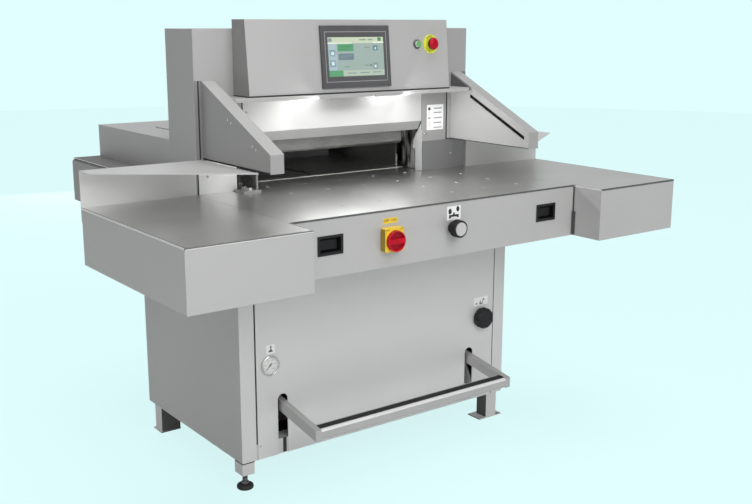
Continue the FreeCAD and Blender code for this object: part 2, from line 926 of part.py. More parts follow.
def cut_buttons():
    """Two recessed cut buttons: a black housing and a sprung cap each."""
    housings = []
    for side, hand in ((-1, "left"), (1, "right")):
        middle = f"({side} * cut_offset)"
        flange = block(
            f"cut_flange_{hand}",
            (f"{middle} - cut_width / 2", f"{middle} + cut_width / 2"),
            (f"{APRON_FRONT} - cut_proud", APRON_FRONT),
            ("cut_level - cut_height / 2", "cut_level + cut_height / 2"),
        )
        inset = "(cut_wall / 2 + part_gap)"
        box = block(
            f"cut_box_{hand}",
            (f"{middle} - cut_width / 2 + {inset}", f"{middle} + cut_width / 2 - {inset}"),
            (APRON_FRONT, f"{APRON_FRONT} + cut_depth"),
            (f"cut_level - cut_height / 2 + {inset}", f"cut_level + cut_height / 2 - {inset}"),
        )
        recess = block(
            f"cut_recess_{hand}",
            (f"{middle} - cut_width / 2 + cut_wall", f"{middle} + cut_width / 2 - cut_wall"),
            (f"{APRON_FRONT} - cut_proud - 1", f"{APRON_FRONT} + cut_recess"),
            ("cut_level - cut_height / 2 + cut_wall", "cut_level + cut_height / 2 - cut_wall"),
        )
        bore = rod(f"cut_bore_{hand}", "y", (middle, "cut_level"), "cut_stem_radius + running_fit",
                   APRON_FRONT, f"{APRON_FRONT} + cut_depth + 1")
        housings.append(cut(f"cut_housing_{hand}", fuse(f"cut_shell_{hand}", flange, box), recess, bore))
        back = f"({APRON_FRONT} + cut_recess - cut_travel - 1)"
        cap = block(
            f"cut_cap_{hand}",
            (f"{middle} - cut_cap_width / 2", f"{middle} + cut_cap_width / 2"),
            (f"{back} - cut_cap_thickness", back),
            ("cut_level - cut_cap_height / 2", "cut_level + cut_cap_height / 2"),
        )
        stem = rod(f"cut_stem_{hand}", "y", (middle, "cut_level"), "cut_stem_radius",
                   back, f"{APRON_FRONT} + cut_depth - cut_travel - 1")
        part(f"cut_button_{hand}", fuse(f"cut_button_{hand}", cap, stem))
    part("cut_button_housings", group("cut_button_housings", *housings))


def main_switch():
    """Square switch plate and the turning handle on it."""
    body = profile("switch_plate", "XZ_Plane", [
        ("0 - switch_offset - switch_size / 2", "switch_level - switch_size / 2"),
        ("0 - switch_offset + switch_size / 2", "switch_level - switch_size / 2"),
        ("0 - switch_offset + switch_size / 2", "switch_level + switch_size / 2"),
        ("0 - switch_offset - switch_size / 2", "switch_level + switch_size / 2"),
    ], f"{APRON_FRONT} - switch_depth", APRON_FRONT)
    round_edges(body, "switch_corner", lambda edge: abs(edge.tangentAt(edge.FirstParameter).y) > 0.9)
    centre = ("0 - switch_offset", "(switch_level - switch_knob_drop)")
    bore = rod("switch_bore", "y", centre, "spindle_radius + running_fit",
               f"{APRON_FRONT} - switch_depth - 1", f"{APRON_FRONT} + 1")
    part("main_switch", cut("main_switch", body, bore))
    back = f"({APRON_FRONT} - switch_depth - part_gap)"
    face = f"({back} - switch_knob_height)"
    disc = rod("switch_disc", "y", centre, "switch_knob_radius", face, back)
    dish = rod("switch_dish", "y", centre, "switch_knob_radius - switch_knob_rim",
               f"{face} - 1", f"{face} + switch_grip_depth")
    grip = block(
        "switch_grip",
        ("0 - switch_offset - switch_knob_radius", "0 - switch_offset + switch_knob_radius"),
        (f"{face} - 2", back),
        (f"{centre[1]} - switch_grip_width / 2", f"{centre[1]} + switch_grip_width / 2"),
    )
    spindle = rod("switch_spindle", "y", centre, "spindle_radius", back, f"{APRON_FRONT} - {SHEET}")
    cap = cut("switch_cap", disc, cut("switch_pockets", dish, grip))
    part("switch_knob", fuse("switch_knob", cap, spindle))


def handwheel():
    """Electronic handwheel: a black rim with a pale cap let into it."""
    rim = turned("wheel_rim", [
        ("0", "0 - wheel_depth / 2"),
        ("spindle_radius", "0 - wheel_depth / 2"),
        ("spindle_radius", "part_gap"),
        ("wheel_radius - 4", "part_gap"),
        ("wheel_radius - 3", "wheel_depth / 2"),
        ("wheel_radius", "wheel_depth / 2 + 4"),
        ("wheel_radius", "wheel_depth - 2"),
        ("wheel_radius - 2", "wheel_depth"),
        ("wheel_cap_radius", "wheel_depth"),
        ("wheel_cap_radius", "wheel_depth - 2"),
        ("0", "wheel_depth - 2"),
    ])
    cap = turned("wheel_cap", [
        ("0", "wheel_depth - 2"),
        ("wheel_cap_radius - part_gap", "wheel_depth - 2"),
        ("wheel_cap_radius - part_gap", "wheel_depth + 0.5"),
        ("wheel_cap_radius - 2", "wheel_depth - 2 + wheel_cap_depth"),
        ("0", "wheel_depth - 2 + wheel_cap_depth"),
    ])
    for piece in (rim, cap):
        place(piece, "wheel_offset", APRON_FRONT, "wheel_level", Vector(1, 0, 0), "90")
    part("handwheel", group("handwheel", rim, cap))


# Columns, frames and head

def side_frames():
    """Two thick frames with the lips that guide the knife carrier."""
    span_y = (behind("(column_setback + frame_inset + 2)"), FRAME_BACK)
    lip_z = ("lip_bottom", "lip_top")
    front_lip_y = (f"{KNIFE} - guide_gap - front_lip_depth", f"{KNIFE} - guide_gap")
    back_lip_y = (f"{CARRIER_BACK} + guide_gap", f"{CARRIER_BACK} + guide_gap + back_lip_depth")
    pieces = []
    for hand, plate_x, front_x, back_x in (
        ("left", ("0 - frame_left - frame_thickness", "0 - frame_left"),
         ("0 - frame_left", "0 - front_lip_left"), ("0 - frame_left", "0 - back_lip_left")),
        ("right", ("frame_right", "frame_right + frame_thickness"),
         ("front_lip_right", "frame_right"), ("back_lip_right", "frame_right")),
    ):
        plate = block(f"frame_plate_{hand}", plate_x, span_y, (RAIL_TOP, "frame_top"))
        front_lip = block(f"front_lip_{hand}", front_x, front_lip_y, lip_z)
        back_lip = block(f"back_lip_{hand}", back_x, back_lip_y, lip_z)
        pieces.append(fuse(f"side_frame_{hand}", plate, front_lip, back_lip))
    part("side_frames", group("side_frames", *pieces))


def head_beam():
    """The cross beam between the frames that the cylinders push against."""
    part("head_beam", block(
        "head_beam",
        ("0 - frame_left", "frame_right"),
        (f"{BEAM_BACK} - beam_depth", BEAM_BACK),
        ("beam_bottom", "beam_bottom + beam_height"),
    ))


def yoke_covers():
    """Two sheet covers that meet at the middle of the head."""
    pieces = []
    for hand, outer, middle, face in (
        ("left", f"0 - {SIDE}", "head_centre - panel_seam / 2", "0 - column_face_left"),
        ("right", SIDE, "head_centre + panel_seam / 2", "column_face_right"),
    ):
        def span(start, end, flip=(hand == "right")):
            return (end, start) if flip else (start, end)
        inner = f"{outer} + {SHEET}" if hand == "left" else f"{outer} - {SHEET}"
        past = f"{middle} + 1" if hand == "left" else f"{middle} - 1"
        shell = block(f"yoke_block_{hand}", span(outer, middle), (COLUMN_FRONT, COLUMN_BACK),
                      (TABLE, "column_top"))
        hollow = block(
            f"yoke_hollow_{hand}",
            span(inner, past),
            (f"{COLUMN_FRONT} + {SHEET}", f"{COLUMN_BACK} - {SHEET}"),
            (f"{TABLE} - 1", f"column_top - {SHEET}"),
        )
        front_throat = block(
            f"front_throat_{hand}",
            span(face, past),
            (f"{COLUMN_FRONT} - 1", f"{COLUMN_FRONT} + {SHEET} + 1"),
            (f"{TABLE} - 1", "sill_top - sill_thickness"),
        )
        back_throat = block(
            f"back_throat_{hand}",
            span(face, past),
            (f"{COLUMN_BACK} - {SHEET} - 1", f"{COLUMN_BACK} + 1"),
            (f"{TABLE} - 1", "head_back_bottom"),
        )
        pieces.append(cut(f"yoke_cover_{hand}", shell, hollow, front_throat, back_throat))
    part("yoke_covers", group("yoke_covers", *pieces))


def guard_panel():
    """The lit panel under the console, folded back along its lower edge."""
    front = COLUMN_FRONT
    top = "sill_top - sill_thickness"
    part("guard_panel", profile("guard_panel", "YZ_Plane", [
        (front, "guard_fold"),
        (f"{front} + guard_lip_reach", "guard_lip_bottom"),
        (f"{front} + guard_lip_reach + guard_sheet", "guard_lip_bottom + guard_sheet / 2"),
        (f"{front} + guard_sheet", "guard_fold + guard_sheet / 2"),
        (f"{front} + guard_sheet", top),
        (front, top),
    ], "0 - throat_left + panel_seam", "throat_right - guard_seam"))


def jamb_panels():
    """The panels beside the throat, each folded back along the throat's side."""
    plate_y = (COLUMN_FRONT, f"{COLUMN_FRONT} + guard_sheet")
    plate_z = ("jamb_bottom", "sill_top - sill_thickness")
    front = f"{COLUMN_FRONT}"
    deep = f"{COLUMN_FRONT} + jamb_flange"
    left_plate = block("left_jamb_plate", ("0 - column_face_left", "0 - throat_left"), plate_y, plate_z)
    left_flange = profile("left_jamb_flange", "YZ_Plane", [
        (front, "jamb_bottom"),
        (deep, "jamb_bottom"),
        (front, "guard_fold"),
    ], "0 - throat_left - guard_sheet", "0 - throat_left")
    right_plate = block("right_jamb_plate", ("throat_right", "column_face_right - panel_seam"),
                        plate_y, plate_z)
    leg = f"{COLUMN_FRONT} + jamb_leg"
    right_flange = profile("right_jamb_flange", "YZ_Plane", [
        (front, TABLE),
        (leg, TABLE),
        (leg, "jamb_notch"),
        (deep, "jamb_notch"),
        (deep, "jamb_bottom"),
        (front, "guard_fold"),
    ], "throat_right", "throat_right + guard_sheet")
    part("jamb_panels", group(
        "jamb_panels",
        fuse("left_jamb", left_plate, left_flange),
        fuse("right_jamb", right_plate, right_flange),
    ))


def sill():
    """The shelf under the console and the two lamps below it."""
    inner = "(arm_outer - arm_width)"
    front = f"({COLUMN_FRONT} - sill_reach)"
    shelf = profile("sill", "XY_Plane", [
        (f"0 - {inner}", COLUMN_FRONT),
        (f"0 - {inner}", f"{front} + sill_thickness"),
        (f"0 - {inner} + sill_thickness", front),
        (f"{inner} - sill_thickness", front),
        (inner, f"{front} + sill_thickness"),
        (inner, COLUMN_FRONT),
    ], "sill_top - sill_thickness", "sill_top")
    part("sill", shelf)
    lamps = []
    for side, hand in ((-1, "left"), (1, "right")):
        middle = f"(head_centre + {side} * lamp_spacing / 2)"
        lamps.append(block(
            f"lamp_{hand}",
            (f"{middle} - lamp_length / 2", f"{middle} + lamp_length / 2"),
            (f"{front} + lamp_inset", f"{front} + lamp_inset + lamp_width"),
            ("sill_top - sill_thickness - lamp_height", "sill_top - sill_thickness"),
        ))
    part("lamps", group("lamps", *lamps))


# Console

CONSOLE_FRONT = behind("console_setback")


def face_y(level):
    """The Y place of the console's leaning face at a height."""
    return f"({CONSOLE_FRONT} + tan(console_tilt) * ({level} - sill_top))"


def on_console(thing, x, level, out="0"):
    """Stand a turned part on the console's face, its own Z axis pointing out of it."""
    y = f"{face_y(level)} - ({out}) * cos(console_tilt)"
    z = f"{level} + ({out}) * sin(console_tilt)"
    return place(thing, x, y, z, Vector(1, 0, 0), "90 - console_tilt")


def face_block(name, x, level, width, height, low, high):
    """A block on the console's face; low and high are depths behind the face."""
    solid = doc.addObject("Part::Box", name)
    bind(solid, "Length", width)
    bind(solid, "Width", f"({high}) - ({low})")
    bind(solid, "Height", height)
    bottom = f"({level} - cos(console_tilt) * ({height}) / 2)"
    y = f"{face_y(bottom)} + ({low}) * cos(console_tilt)"
    z = f"{bottom} - ({low}) * sin(console_tilt)"
    return place(solid, f"{x} - ({width}) / 2", y, z, Vector(-1, 0, 0), "console_tilt")


def face_rod(name, x, level, radius, low, high):
    """A round bar square to the console's face; low and high are heights above it."""
    solid = doc.addObject("Part::Cylinder", name)
    bind(solid, "Radius", radius)
    bind(solid, "Height", f"({high}) - ({low})")
    return on_console(solid, x, level, low)


SCREEN_DEPTH = "(screen_thickness - screen_proud)"
STOP_X = "stop_offset"
START_X = "start_offset"


def console():
    """The console housing: a folded shell open towards the columns."""
    back = COLUMN_FRONT
    outer = profile("console_outer", "YZ_Plane", [
        (CONSOLE_FRONT, "sill_top"),
        (back, "sill_top"),
        (back, "console_top"),
        (face_y("console_top"), "console_top"),
    ], "0 - console_left", "console_right")
    inner = profile("console_inner", "YZ_Plane", [
        (f"{CONSOLE_FRONT} + {SHEET}", f"sill_top + {SHEET}"),
        (f"{back} + 1", f"sill_top + {SHEET}"),
        (f"{back} + 1", f"console_top - {SHEET}"),
        (f"{face_y('console_top')} + {SHEET}", f"console_top - {SHEET}"),
    ], f"0 - console_left + {SHEET}", f"console_right - {SHEET}")
    window = face_block("screen_window", "screen_centre", "screen_level",
                        "screen_width - 2 * screen_rim", "screen_height - 2 * screen_rim",
                        "0 - 2", f"{SHEET} + 2")
    stop_hole = face_rod("stop_hole", STOP_X, "button_level", "stem_radius + running_fit", "0 - 8", "8")
    start_hole = face_rod("start_hole", START_X, "button_level", "stem_radius + running_fit", "0 - 8", "8")
    part("console_housing", cut("console_housing", outer, inner, window, stop_hole, start_hole))


def touch_screen():
    """The screen's bezel and the glass let into it."""
    rim = face_block("bezel_rim", "screen_centre", "screen_level", "screen_width", "screen_height",
                     "0 - screen_proud", "0")
    tub = face_block("bezel_tub", "screen_centre", "screen_level",
                     "screen_width - 2 * screen_rim - 2 * part_gap",
                     "screen_height - 2 * screen_rim - 2 * part_gap", "0", SCREEN_DEPTH)
    opening = face_block(
        "bezel_opening", "screen_centre", "screen_level",
        "screen_width - 2 * screen_margin_side + 2 * part_gap",
        "screen_height - 2 * screen_margin_top + 2 * part_gap",
        "0 - screen_proud - 1", "0 - screen_proud + screen_glass_thickness",
    )
    part("screen_bezel", cut("screen_bezel", fuse("bezel_body", rim, tub), opening))
    part("screen_glass", face_block(
        "screen_glass", "screen_centre", "screen_level",
        "screen_width - 2 * screen_margin_side", "screen_height - 2 * screen_margin_top",
        "0 - screen_proud + 0.5", "0 - screen_proud + screen_glass_thickness",
    ))


def console_buttons():
    """Emergency stop and start button, with the collars round them."""
    bore = "(stem_radius + running_fit)"
    stop_collar = turned("stop_collar", [
        (bore, "0"),
        ("stop_collar_radius", "0"),
        ("stop_collar_radius", "stop_collar_thickness - 2"),
        ("stop_collar_radius - 2", "stop_collar_thickness"),
        (bore, "stop_collar_thickness"),
    ])
    start_collar = turned("start_collar", [
        (bore, "0"),
        ("start_collar_radius", "0"),
        ("start_collar_radius", "start_cap_height - 1"),
        ("start_collar_radius - 1", "start_cap_height"),
        ("start_cap_radius + part_gap", "start_cap_height"),
        ("start_cap_radius + part_gap", "1"),
        (bore, "1"),
    ])
    on_console(stop_collar, STOP_X, "button_level")
    on_console(start_collar, START_X, "button_level")
    part("button_collars", group("button_collars", stop_collar, start_collar))
    rest = "(stop_collar_thickness + stop_travel + 1)"
    stop_cap = turned("stop_button", [
        ("0", "0 - stem_depth"),
        ("stem_radius", "0 - stem_depth"),
        ("stem_radius", rest),
        ("stop_cap_radius - 6", rest),
        ("stop_cap_radius", f"{rest} + 5"),
        ("stop_cap_radius", "stop_cap_height - 6"),
        ("stop_cap_radius - 2", "stop_cap_height - 2"),
        ("stop_cap_radius - 7", "stop_cap_height"),
        ("0", "stop_cap_height + 1"),
    ])
    part("stop_button", on_console(stop_cap, STOP_X, "button_level"))
    start_rest = "(1 + start_travel + 0.5)"
    start_cap = turned("start_button", [
        ("0", "0 - stem_depth"),
        ("stem_radius", "0 - stem_depth"),
        ("stem_radius", start_rest),
        ("start_cap_radius", start_rest),
        ("start_cap_radius", f"{start_rest} + start_cap_height"),
        ("start_cap_radius - 1.5", f"{start_rest} + start_cap_height + 1"),
        ("0", f"{start_rest} + start_cap_height + 1.4"),
    ])
    part("start_button", on_console(start_cap, START_X, "button_level"))


# Light curtain

SLIT_SLOPE = "((slit_back_level - slit_front_level) / (slit_back - slit_front))"


def arms():
    """The two arm covers and the light bars inside them."""
    front = behind("arm_setback")
    slope = "((arm_back_top - arm_nose_top) / (column_setback - arm_back_flat - arm_setback))"
    covers = []
    bars = []
    for side, hand in ((-1, "left"), (1, "right")):
        span = mirrored(("(arm_outer - arm_width)", "arm_outer"), side)
        hollow_span = mirrored((f"(arm_outer - arm_width + {SHEET})", f"(arm_outer - {SHEET})"), side)
        outer = profile(f"arm_outer_{hand}", "YZ_Plane", [
            (front, "arm_bottom"),
            (COLUMN_FRONT, "arm_bottom"),
            (COLUMN_FRONT, "arm_back_top"),
            (f"{COLUMN_FRONT} - arm_back_flat", "arm_back_top"),
            (front, "arm_nose_top"),
        ], *span)
        inner = profile(f"arm_inner_{hand}", "YZ_Plane", [
            (f"{front} + {SHEET}", f"arm_bottom + {SHEET}"),
            (f"{COLUMN_FRONT} + 1", f"arm_bottom + {SHEET}"),
            (f"{COLUMN_FRONT} + 1", f"arm_back_top - {SHEET}"),
            (f"{COLUMN_FRONT} - arm_back_flat + {SHEET} / 4", f"arm_back_top - {SHEET}"),
            (f"{front} + {SHEET}", f"arm_nose_top - {SHEET} + {slope} * {SHEET} / 4"),
        ], *hollow_span)
        half = "slit_height / 2"
        inner_face = "(arm_outer - arm_width)"
        slit_wall = mirrored((f"({inner_face} - 1)", f"({inner_face} + {SHEET} + 1)"), side)
        slit = profile(f"slit_{hand}", "YZ_Plane", [
            (behind("slit_front"), f"slit_front_level - {half}"),
            (behind("slit_back"), f"slit_back_level - {half}"),
            (behind("slit_back"), f"slit_back_level + {half}"),
            (behind("slit_front"), f"slit_front_level + {half}"),
        ], *slit_wall)
        covers.append(cut(f"arm_cover_{hand}", outer, inner, slit))
        half_bar = "curtain_bar_height / 2"
        bar_face = f"({inner_face} + {SHEET})"
        bar_span = mirrored((bar_face, f"({bar_face} + curtain_bar_width)"), side)
        bar_start = behind("(slit_front - curtain_bar_lead)")
        bar_end = behind("(slit_back + curtain_bar_lead)")
        low = f"(slit_front_level - curtain_bar_lead * {SLIT_SLOPE})"
        high = f"(slit_back_level + curtain_bar_lead * {SLIT_SLOPE})"
        bars.append(profile(f"curtain_bar_{hand}", "YZ_Plane", [
            (bar_start, f"{low} - {half_bar} + curtain_bar_trim / 4"),
            (bar_end, f"{high} - {half_bar}"),
            (bar_end, f"{high} + {half_bar}"),
            (bar_start, f"{low} + {half_bar} - curtain_bar_trim"),
        ], *bar_span))
    part("arm_covers", group("arm_covers", *covers))
    part("light_curtain_bars", group("light_curtain_bars", *bars))


# Fences and side guide

def fences():
    """Painted outer fences with their top ledges, and the bright inner fences."""
    back = behind("wing_depth")
    outer = []
    for side, hand in ((-1, "left"), (1, "right")):
        outer.append(block(
            f"outer_fence_{hand}",
            mirrored((f"({WING_IN} + top_seam / 2)", WING_OUT), side),
            (back, f"{back} + fence_sheet"),
            ("fence_foot", "fence_top"),
        ))
        corners = [
            (WING_OUT, f"{back} + fence_sheet"),
            (WING_OUT, behind("ledge_outer_setback")),
            ("ledge_inner", behind("ledge_inner_setback")),
            ("ledge_inner", f"{back} + fence_sheet"),
        ]
        if side < 0:
            corners = [(f"0 - {x}", y) for x, y in corners]
        outer.append(profile(f"ledge_{hand}", "XY_Plane", corners, "fence_top", "fence_top + fence_sheet"))
    part("side_fences", group("side_fences", *outer))
    inner_y = (f"{COLUMN_FRONT} - fence_sheet", COLUMN_FRONT)
    inner_z = (TABLE, "fence_top")
    edge = f"({SIDE} - top_seam)"
    part("inner_fences", group(
        "inner_fences",
        block("inner_fence_left", (f"0 - {edge}", "0 - inner_fence_left"), inner_y, inner_z),
        block("inner_fence_right", ("inner_fence_right", edge), inner_y, inner_z),
    ))


def side_guide():
    """The angle plate that guides the stack at the left of the throat."""
    wall = block(
        "guide_wall",
        ("0 - guide_face - guide_plate", "0 - guide_face"),
        (behind("guide_front_setback"), behind("guide_back_setback")),
        (TABLE, "guide_top"),
    )
    foot = block(
        "guide_foot",
        ("0 - guide_face - guide_foot_width", "0 - guide_face"),
        (behind("guide_foot_setback"), behind("(guide_foot_setback + guide_foot_depth)")),
        (TABLE, "table_height + guide_foot_thickness"),
    )
    part("side_guide", fuse("side_guide", wall, foot))


# Knife and clamp

KNIFE_RAM_X = "(head_centre + tan(knife_slant) * (knife_ram_top - carrier_top) / 2)"
KNIFE_MIDDLE = behind("(knife_setback + blade_thickness + carrier_thickness / 2)")


def slanted(name, radius, low_level, high_level):
    """A round bar along the knife's path, cut level at both ends."""
    solid = doc.addObject("Part::Cylinder", name + "_round")
    bind(solid, "Radius", radius)
    margin = f"(2 * ({radius}))"
    bind(solid, "Height", f"(({high_level}) - ({low_level}) + 2 * {margin}) / cos(knife_slant)")
    start = f"(({low_level}) - {margin})"
    x = f"{KNIFE_RAM_X} + tan(knife_slant) * ({start} - (knife_ram_top + carrier_top) / 2)"
    place(solid, x, KNIFE_MIDDLE, start, Vector(0, 1, 0), "knife_slant")
    room = block(
        name + "_room",
        ("0 - frame_left", "frame_right"),
        (f"{KNIFE_MIDDLE} - ({radius}) - 1", f"{KNIFE_MIDDLE} + ({radius}) + 1"),
        (low_level, high_level),
    )
    return common(name, solid, room)


def knife():
    """Knife, its carrier and the ram that drives them."""
    part("knife_blade", profile("knife_blade", "YZ_Plane", [
        (KNIFE, "blade_edge"),
        (BLADE_BACK, "blade_edge + blade_bevel"),
        (BLADE_BACK, "blade_top"),
        (KNIFE, "blade_top"),
    ], "0 - blade_left", "blade_right"))
    bar = block("carrier_bar", ("0 - carrier_left", "carrier_right"), (BLADE_BACK, CARRIER_BACK),
                ("carrier_bottom", "carrier_top"))
    shoes = []
    for hand, span in (
        ("left", ("0 - carrier_left", "0 - blade_left - shoe_gap")),
        ("right", ("blade_right + shoe_gap", "carrier_right")),
    ):
        shoes.append(block(f"shoe_{hand}", span, (KNIFE, BLADE_BACK), ("carrier_bottom", "carrier_top")))
    ram = slanted("knife_ram", "knife_ram_radius", "carrier_top", "knife_ram_top")
    part("knife_carrier", group("knife_carrier", fuse("carrier_body", bar, *shoes), ram))


def clamp():
    """The clamp beam and the two rams that press it down."""
    front = behind("(knife_setback - clamp_gap - clamp_depth)")
    beam = profile("clamp_bar", "YZ_Plane", [
        (f"{front} + clamp_chamfer", "clamp_bottom"),
        (CLAMP_BACK, "clamp_bottom"),
        (CLAMP_BACK, "clamp_top"),
        (front, "clamp_top"),
        (front, "clamp_bottom + clamp_chamfer"),
    ], "head_centre - clamp_half_width", "head_centre + clamp_half_width")
    rams = []
    for side, hand in ((-1, "left"), (1, "right")):
        x = f"(head_centre + {side} * clamp_ram_spacing / 2)"
        rams.append(rod(f"clamp_ram_{hand}", "z", (x, CLAMP_MIDDLE), "clamp_ram_radius",
                        "clamp_top", "clamp_ram_top"))
    part("clamp_beam", group("clamp_beam", beam, *rams))


def cylinders():
    """The two clamp cylinders and the slanted knife cylinder."""
    pieces = []
    for side, hand in ((-1, "left"), (1, "right")):
        x = f"(head_centre + {side} * clamp_ram_spacing / 2)"
        barrel = rod(f"clamp_barrel_{hand}", "z", (x, CLAMP_MIDDLE), "clamp_ram_radius + clamp_barrel_wall",
                     "clamp_barrel_bottom", "beam_bottom")
        bore = rod(f"clamp_bore_{hand}", "z", (x, CLAMP_MIDDLE), "clamp_ram_radius + running_fit",
                   "clamp_barrel_bottom - 1", "clamp_ram_top + 2")
        pieces.append(cut(f"clamp_cylinder_{hand}", barrel, bore))
    top = "(beam_bottom + beam_height)"
    barrel = slanted("knife_barrel", "(knife_ram_radius + knife_barrel_wall)", "knife_barrel_bottom", top)
    rise = f"({top} - beam_height / 2 - (knife_ram_top + carrier_top) / 2)"
    beam_middle = f"({KNIFE_RAM_X} + tan(knife_slant) * {rise})"
    saddle = block(
        "knife_saddle",
        (f"{beam_middle} - saddle_width / 2", f"{beam_middle} + saddle_width / 2"),
        (BEAM_BACK, f"{KNIFE_MIDDLE} + knife_ram_radius"),
        ("beam_bottom + saddle_inset", f"{top} - saddle_inset"),
    )
    bore = slanted("knife_bore", "(knife_ram_radius + running_fit)", "knife_barrel_bottom - 1",
                   "knife_ram_top + 2")
    pieces.append(cut("knife_cylinder", fuse("knife_cylinder_body", barrel, saddle), bore))
    part("cylinders", group("cylinders", *pieces))


# Rear table

REAR_BACK = f"({STICK_BACK} + rear_table_depth)"
GAUGE_FRONT = behind("gauge_setback")


def rear_table():
    """The plate behind the knife, with the gauge's slot, its screw lugs and its feet."""
    plate = block(
        "rear_plate_sheet",
        ("0 - column_face_left + part_gap", "column_face_right - part_gap"),
        (f"{STICK_BACK} + part_gap", REAR_BACK),
        ("table_height - rear_plate", TABLE),
    )
    under = "(table_height - rear_plate)"
    screw_end = "(screw_front_setback + screw_length)"
    lugs = []
    for name, start in (("front", "screw_front_setback + 1"), ("rear", f"{screw_end} - lug_thickness - 1")):
        lugs.append(block(
            f"lug_{name}",
            ("head_centre - lug_width / 2", "head_centre + lug_width / 2"),
            (behind(f"({start})"), behind(f"({start} + lug_thickness)")),
            ("lug_bottom", under),
        ))
    feet = []
    for side, hand in ((-1, "left"), (1, "right")):
        feet.append(block(
            f"rear_table_foot_{hand}",
            (f"{side} * gauge_half_width - lug_thickness", f"{side} * gauge_half_width + lug_thickness"),
            (behind("(column_setback + column_depth + rail_size)"), f"{REAR_BACK} - rail_size"),
            (f"tray_bottom + {SHEET}", under),
        ))
    for side, hand in ((-1, "left"), (1, "right")):
        face = f"(head_centre + {side} * rear_guide_half)"
        outer = f"(head_centre + {side} * (rear_guide_half + rear_guide_sheet))"
        feet.append(block(
            f"rear_guide_{hand}",
            (face, outer) if side > 0 else (outer, face),
            (f"{COLUMN_BACK} + 2", f"{COLUMN_BACK} + 2 + rear_guide_length"),
            (TABLE, "table_height + rear_guide_height"),
        ))
    slot = block(
        "gauge_slot",
        ("head_centre - rear_slot_width / 2", "head_centre + rear_slot_width / 2"),
        (f"{GAUGE_FRONT} - gauge_stroke - 2", f"{GAUGE_FRONT} + gauge_block_depth + 12"),
        (f"{under} - 1", f"{TABLE} + 1"),
    )
    bore = rod("lug_bore", "y", ("head_centre", "screw_level"), "screw_radius + running_fit",
               behind("(screw_front_setback - 1)"), behind(f"({screw_end} + 1)"))
    part("rear_table", cut("rear_table", fuse("rear_table_body", plate, *lugs, *feet), slot, bore))


def back_gauge():
    """The gauge's comb plate and the block that the screw drives."""
    under = "(table_height - rear_plate)"
    plate = block(
        "gauge_comb",
        ("head_centre - gauge_half_width", "head_centre + gauge_half_width"),
        (GAUGE_FRONT, f"{GAUGE_FRONT} + gauge_plate"),
        ("table_height + part_gap", "table_height + gauge_height"),
    )
    slots = []
    count = int(size("gauge_slot_count"))
    for index in range(count):
        x = f"(head_centre + ({index} - ({count} - 1) / 2) * 2 * gauge_half_width / {count})"
        slots.append(block(
            f"comb_slot_{index}",
            (f"{x} - gauge_slot_width / 2", f"{x} + gauge_slot_width / 2"),
            (f"{GAUGE_FRONT} - 1", f"{GAUGE_FRONT} + gauge_plate + 1"),
            ("table_height + gauge_height - gauge_slot_height", "table_height + gauge_height + 1"),
        ))
    foot = block(
        "gauge_foot",
        ("head_centre - gauge_block_width", "head_centre + gauge_block_width"),
        (f"{GAUGE_FRONT} + gauge_plate", f"{GAUGE_FRONT} + gauge_plate + gauge_block_depth"),
        ("table_height + part_gap", "table_height + part_gap + gauge_plate"),
    )
    neck = block(
        "gauge_neck",
        ("head_centre - gauge_neck_width / 2", "head_centre + gauge_neck_width / 2"),
        (f"{GAUGE_FRONT}", f"{GAUGE_FRONT} + gauge_block_depth"),
        (f"{under} - part_gap", "table_height + part_gap"),
    )
    nut = block(
        "gauge_nut",
        ("head_centre - gauge_block_width / 2", "head_centre + gauge_block_width / 2"),
        (f"{GAUGE_FRONT}", f"{GAUGE_FRONT} + gauge_block_depth"),
        ("screw_level - 2 * screw_radius", f"{under} - part_gap"),
    )
    bore = rod("nut_bore", "y", ("head_centre", "screw_level"), "screw_radius + running_fit",
               f"{GAUGE_FRONT} - 1", f"{GAUGE_FRONT} + gauge_block_depth + 1")
    comb = cut("comb_plate", plate, *slots)
    part("back_gauge", cut("back_gauge", fuse("gauge_body", comb, foot, neck, nut), bore))


def gauge_drive():
    """The gauge's lead screw and its motor."""
    end = behind("(screw_front_setback + screw_length)")
    part("lead_screw", rod("lead_screw", "y", ("head_centre", "screw_level"), "screw_radius",
                           behind("screw_front_setback"), end))
    motor = rod("gauge_motor_can", "y", ("head_centre", "screw_level"), "motor_radius",
                f"{end} - 1", f"{end} - 1 + motor_length")
    recess = rod("gauge_motor_socket", "y", ("head_centre", "screw_level"), "screw_radius + running_fit",
                 f"{end} - 2", f"{end} + 1")
    part("gauge_motor", cut("gauge_motor", motor, recess))


def rear_tray():
    """The wide tray below the rear cover, with bevelled upper edges."""
    shell = profile("tray_outer", "XZ_Plane", [
        ("0 - tray_half_width", "tray_bottom"),
        ("tray_half_width", "tray_bottom"),
        ("tray_half_width", "tray_top - tray_bevel"),
        ("tray_half_width - tray_bevel", "tray_top"),
        ("0 - tray_half_width + tray_bevel", "tray_top"),
        ("0 - tray_half_width", "tray_top - tray_bevel"),
    ], COLUMN_BACK, MACHINE_BACK)
    hollow = block(
        "tray_hollow",
        (f"0 - tray_half_width + {SHEET}", f"tray_half_width - {SHEET}"),
        (f"{COLUMN_BACK} + {SHEET}", f"{MACHINE_BACK} - {SHEET}"),
        (f"tray_bottom + {SHEET}", f"tray_top - tray_bevel"),
    )
    mouth = block(
        "tray_mouth",
        ("0 - cover_half_width + tray_rim", "cover_half_width - tray_rim"),
        (f"{COLUMN_BACK} - 1", f"{MACHINE_BACK} - tray_rim"),
        (f"tray_bottom + {SHEET}", "tray_top + 1"),
    )
    part("rear_tray", cut("rear_tray", shell, hollow, mouth))


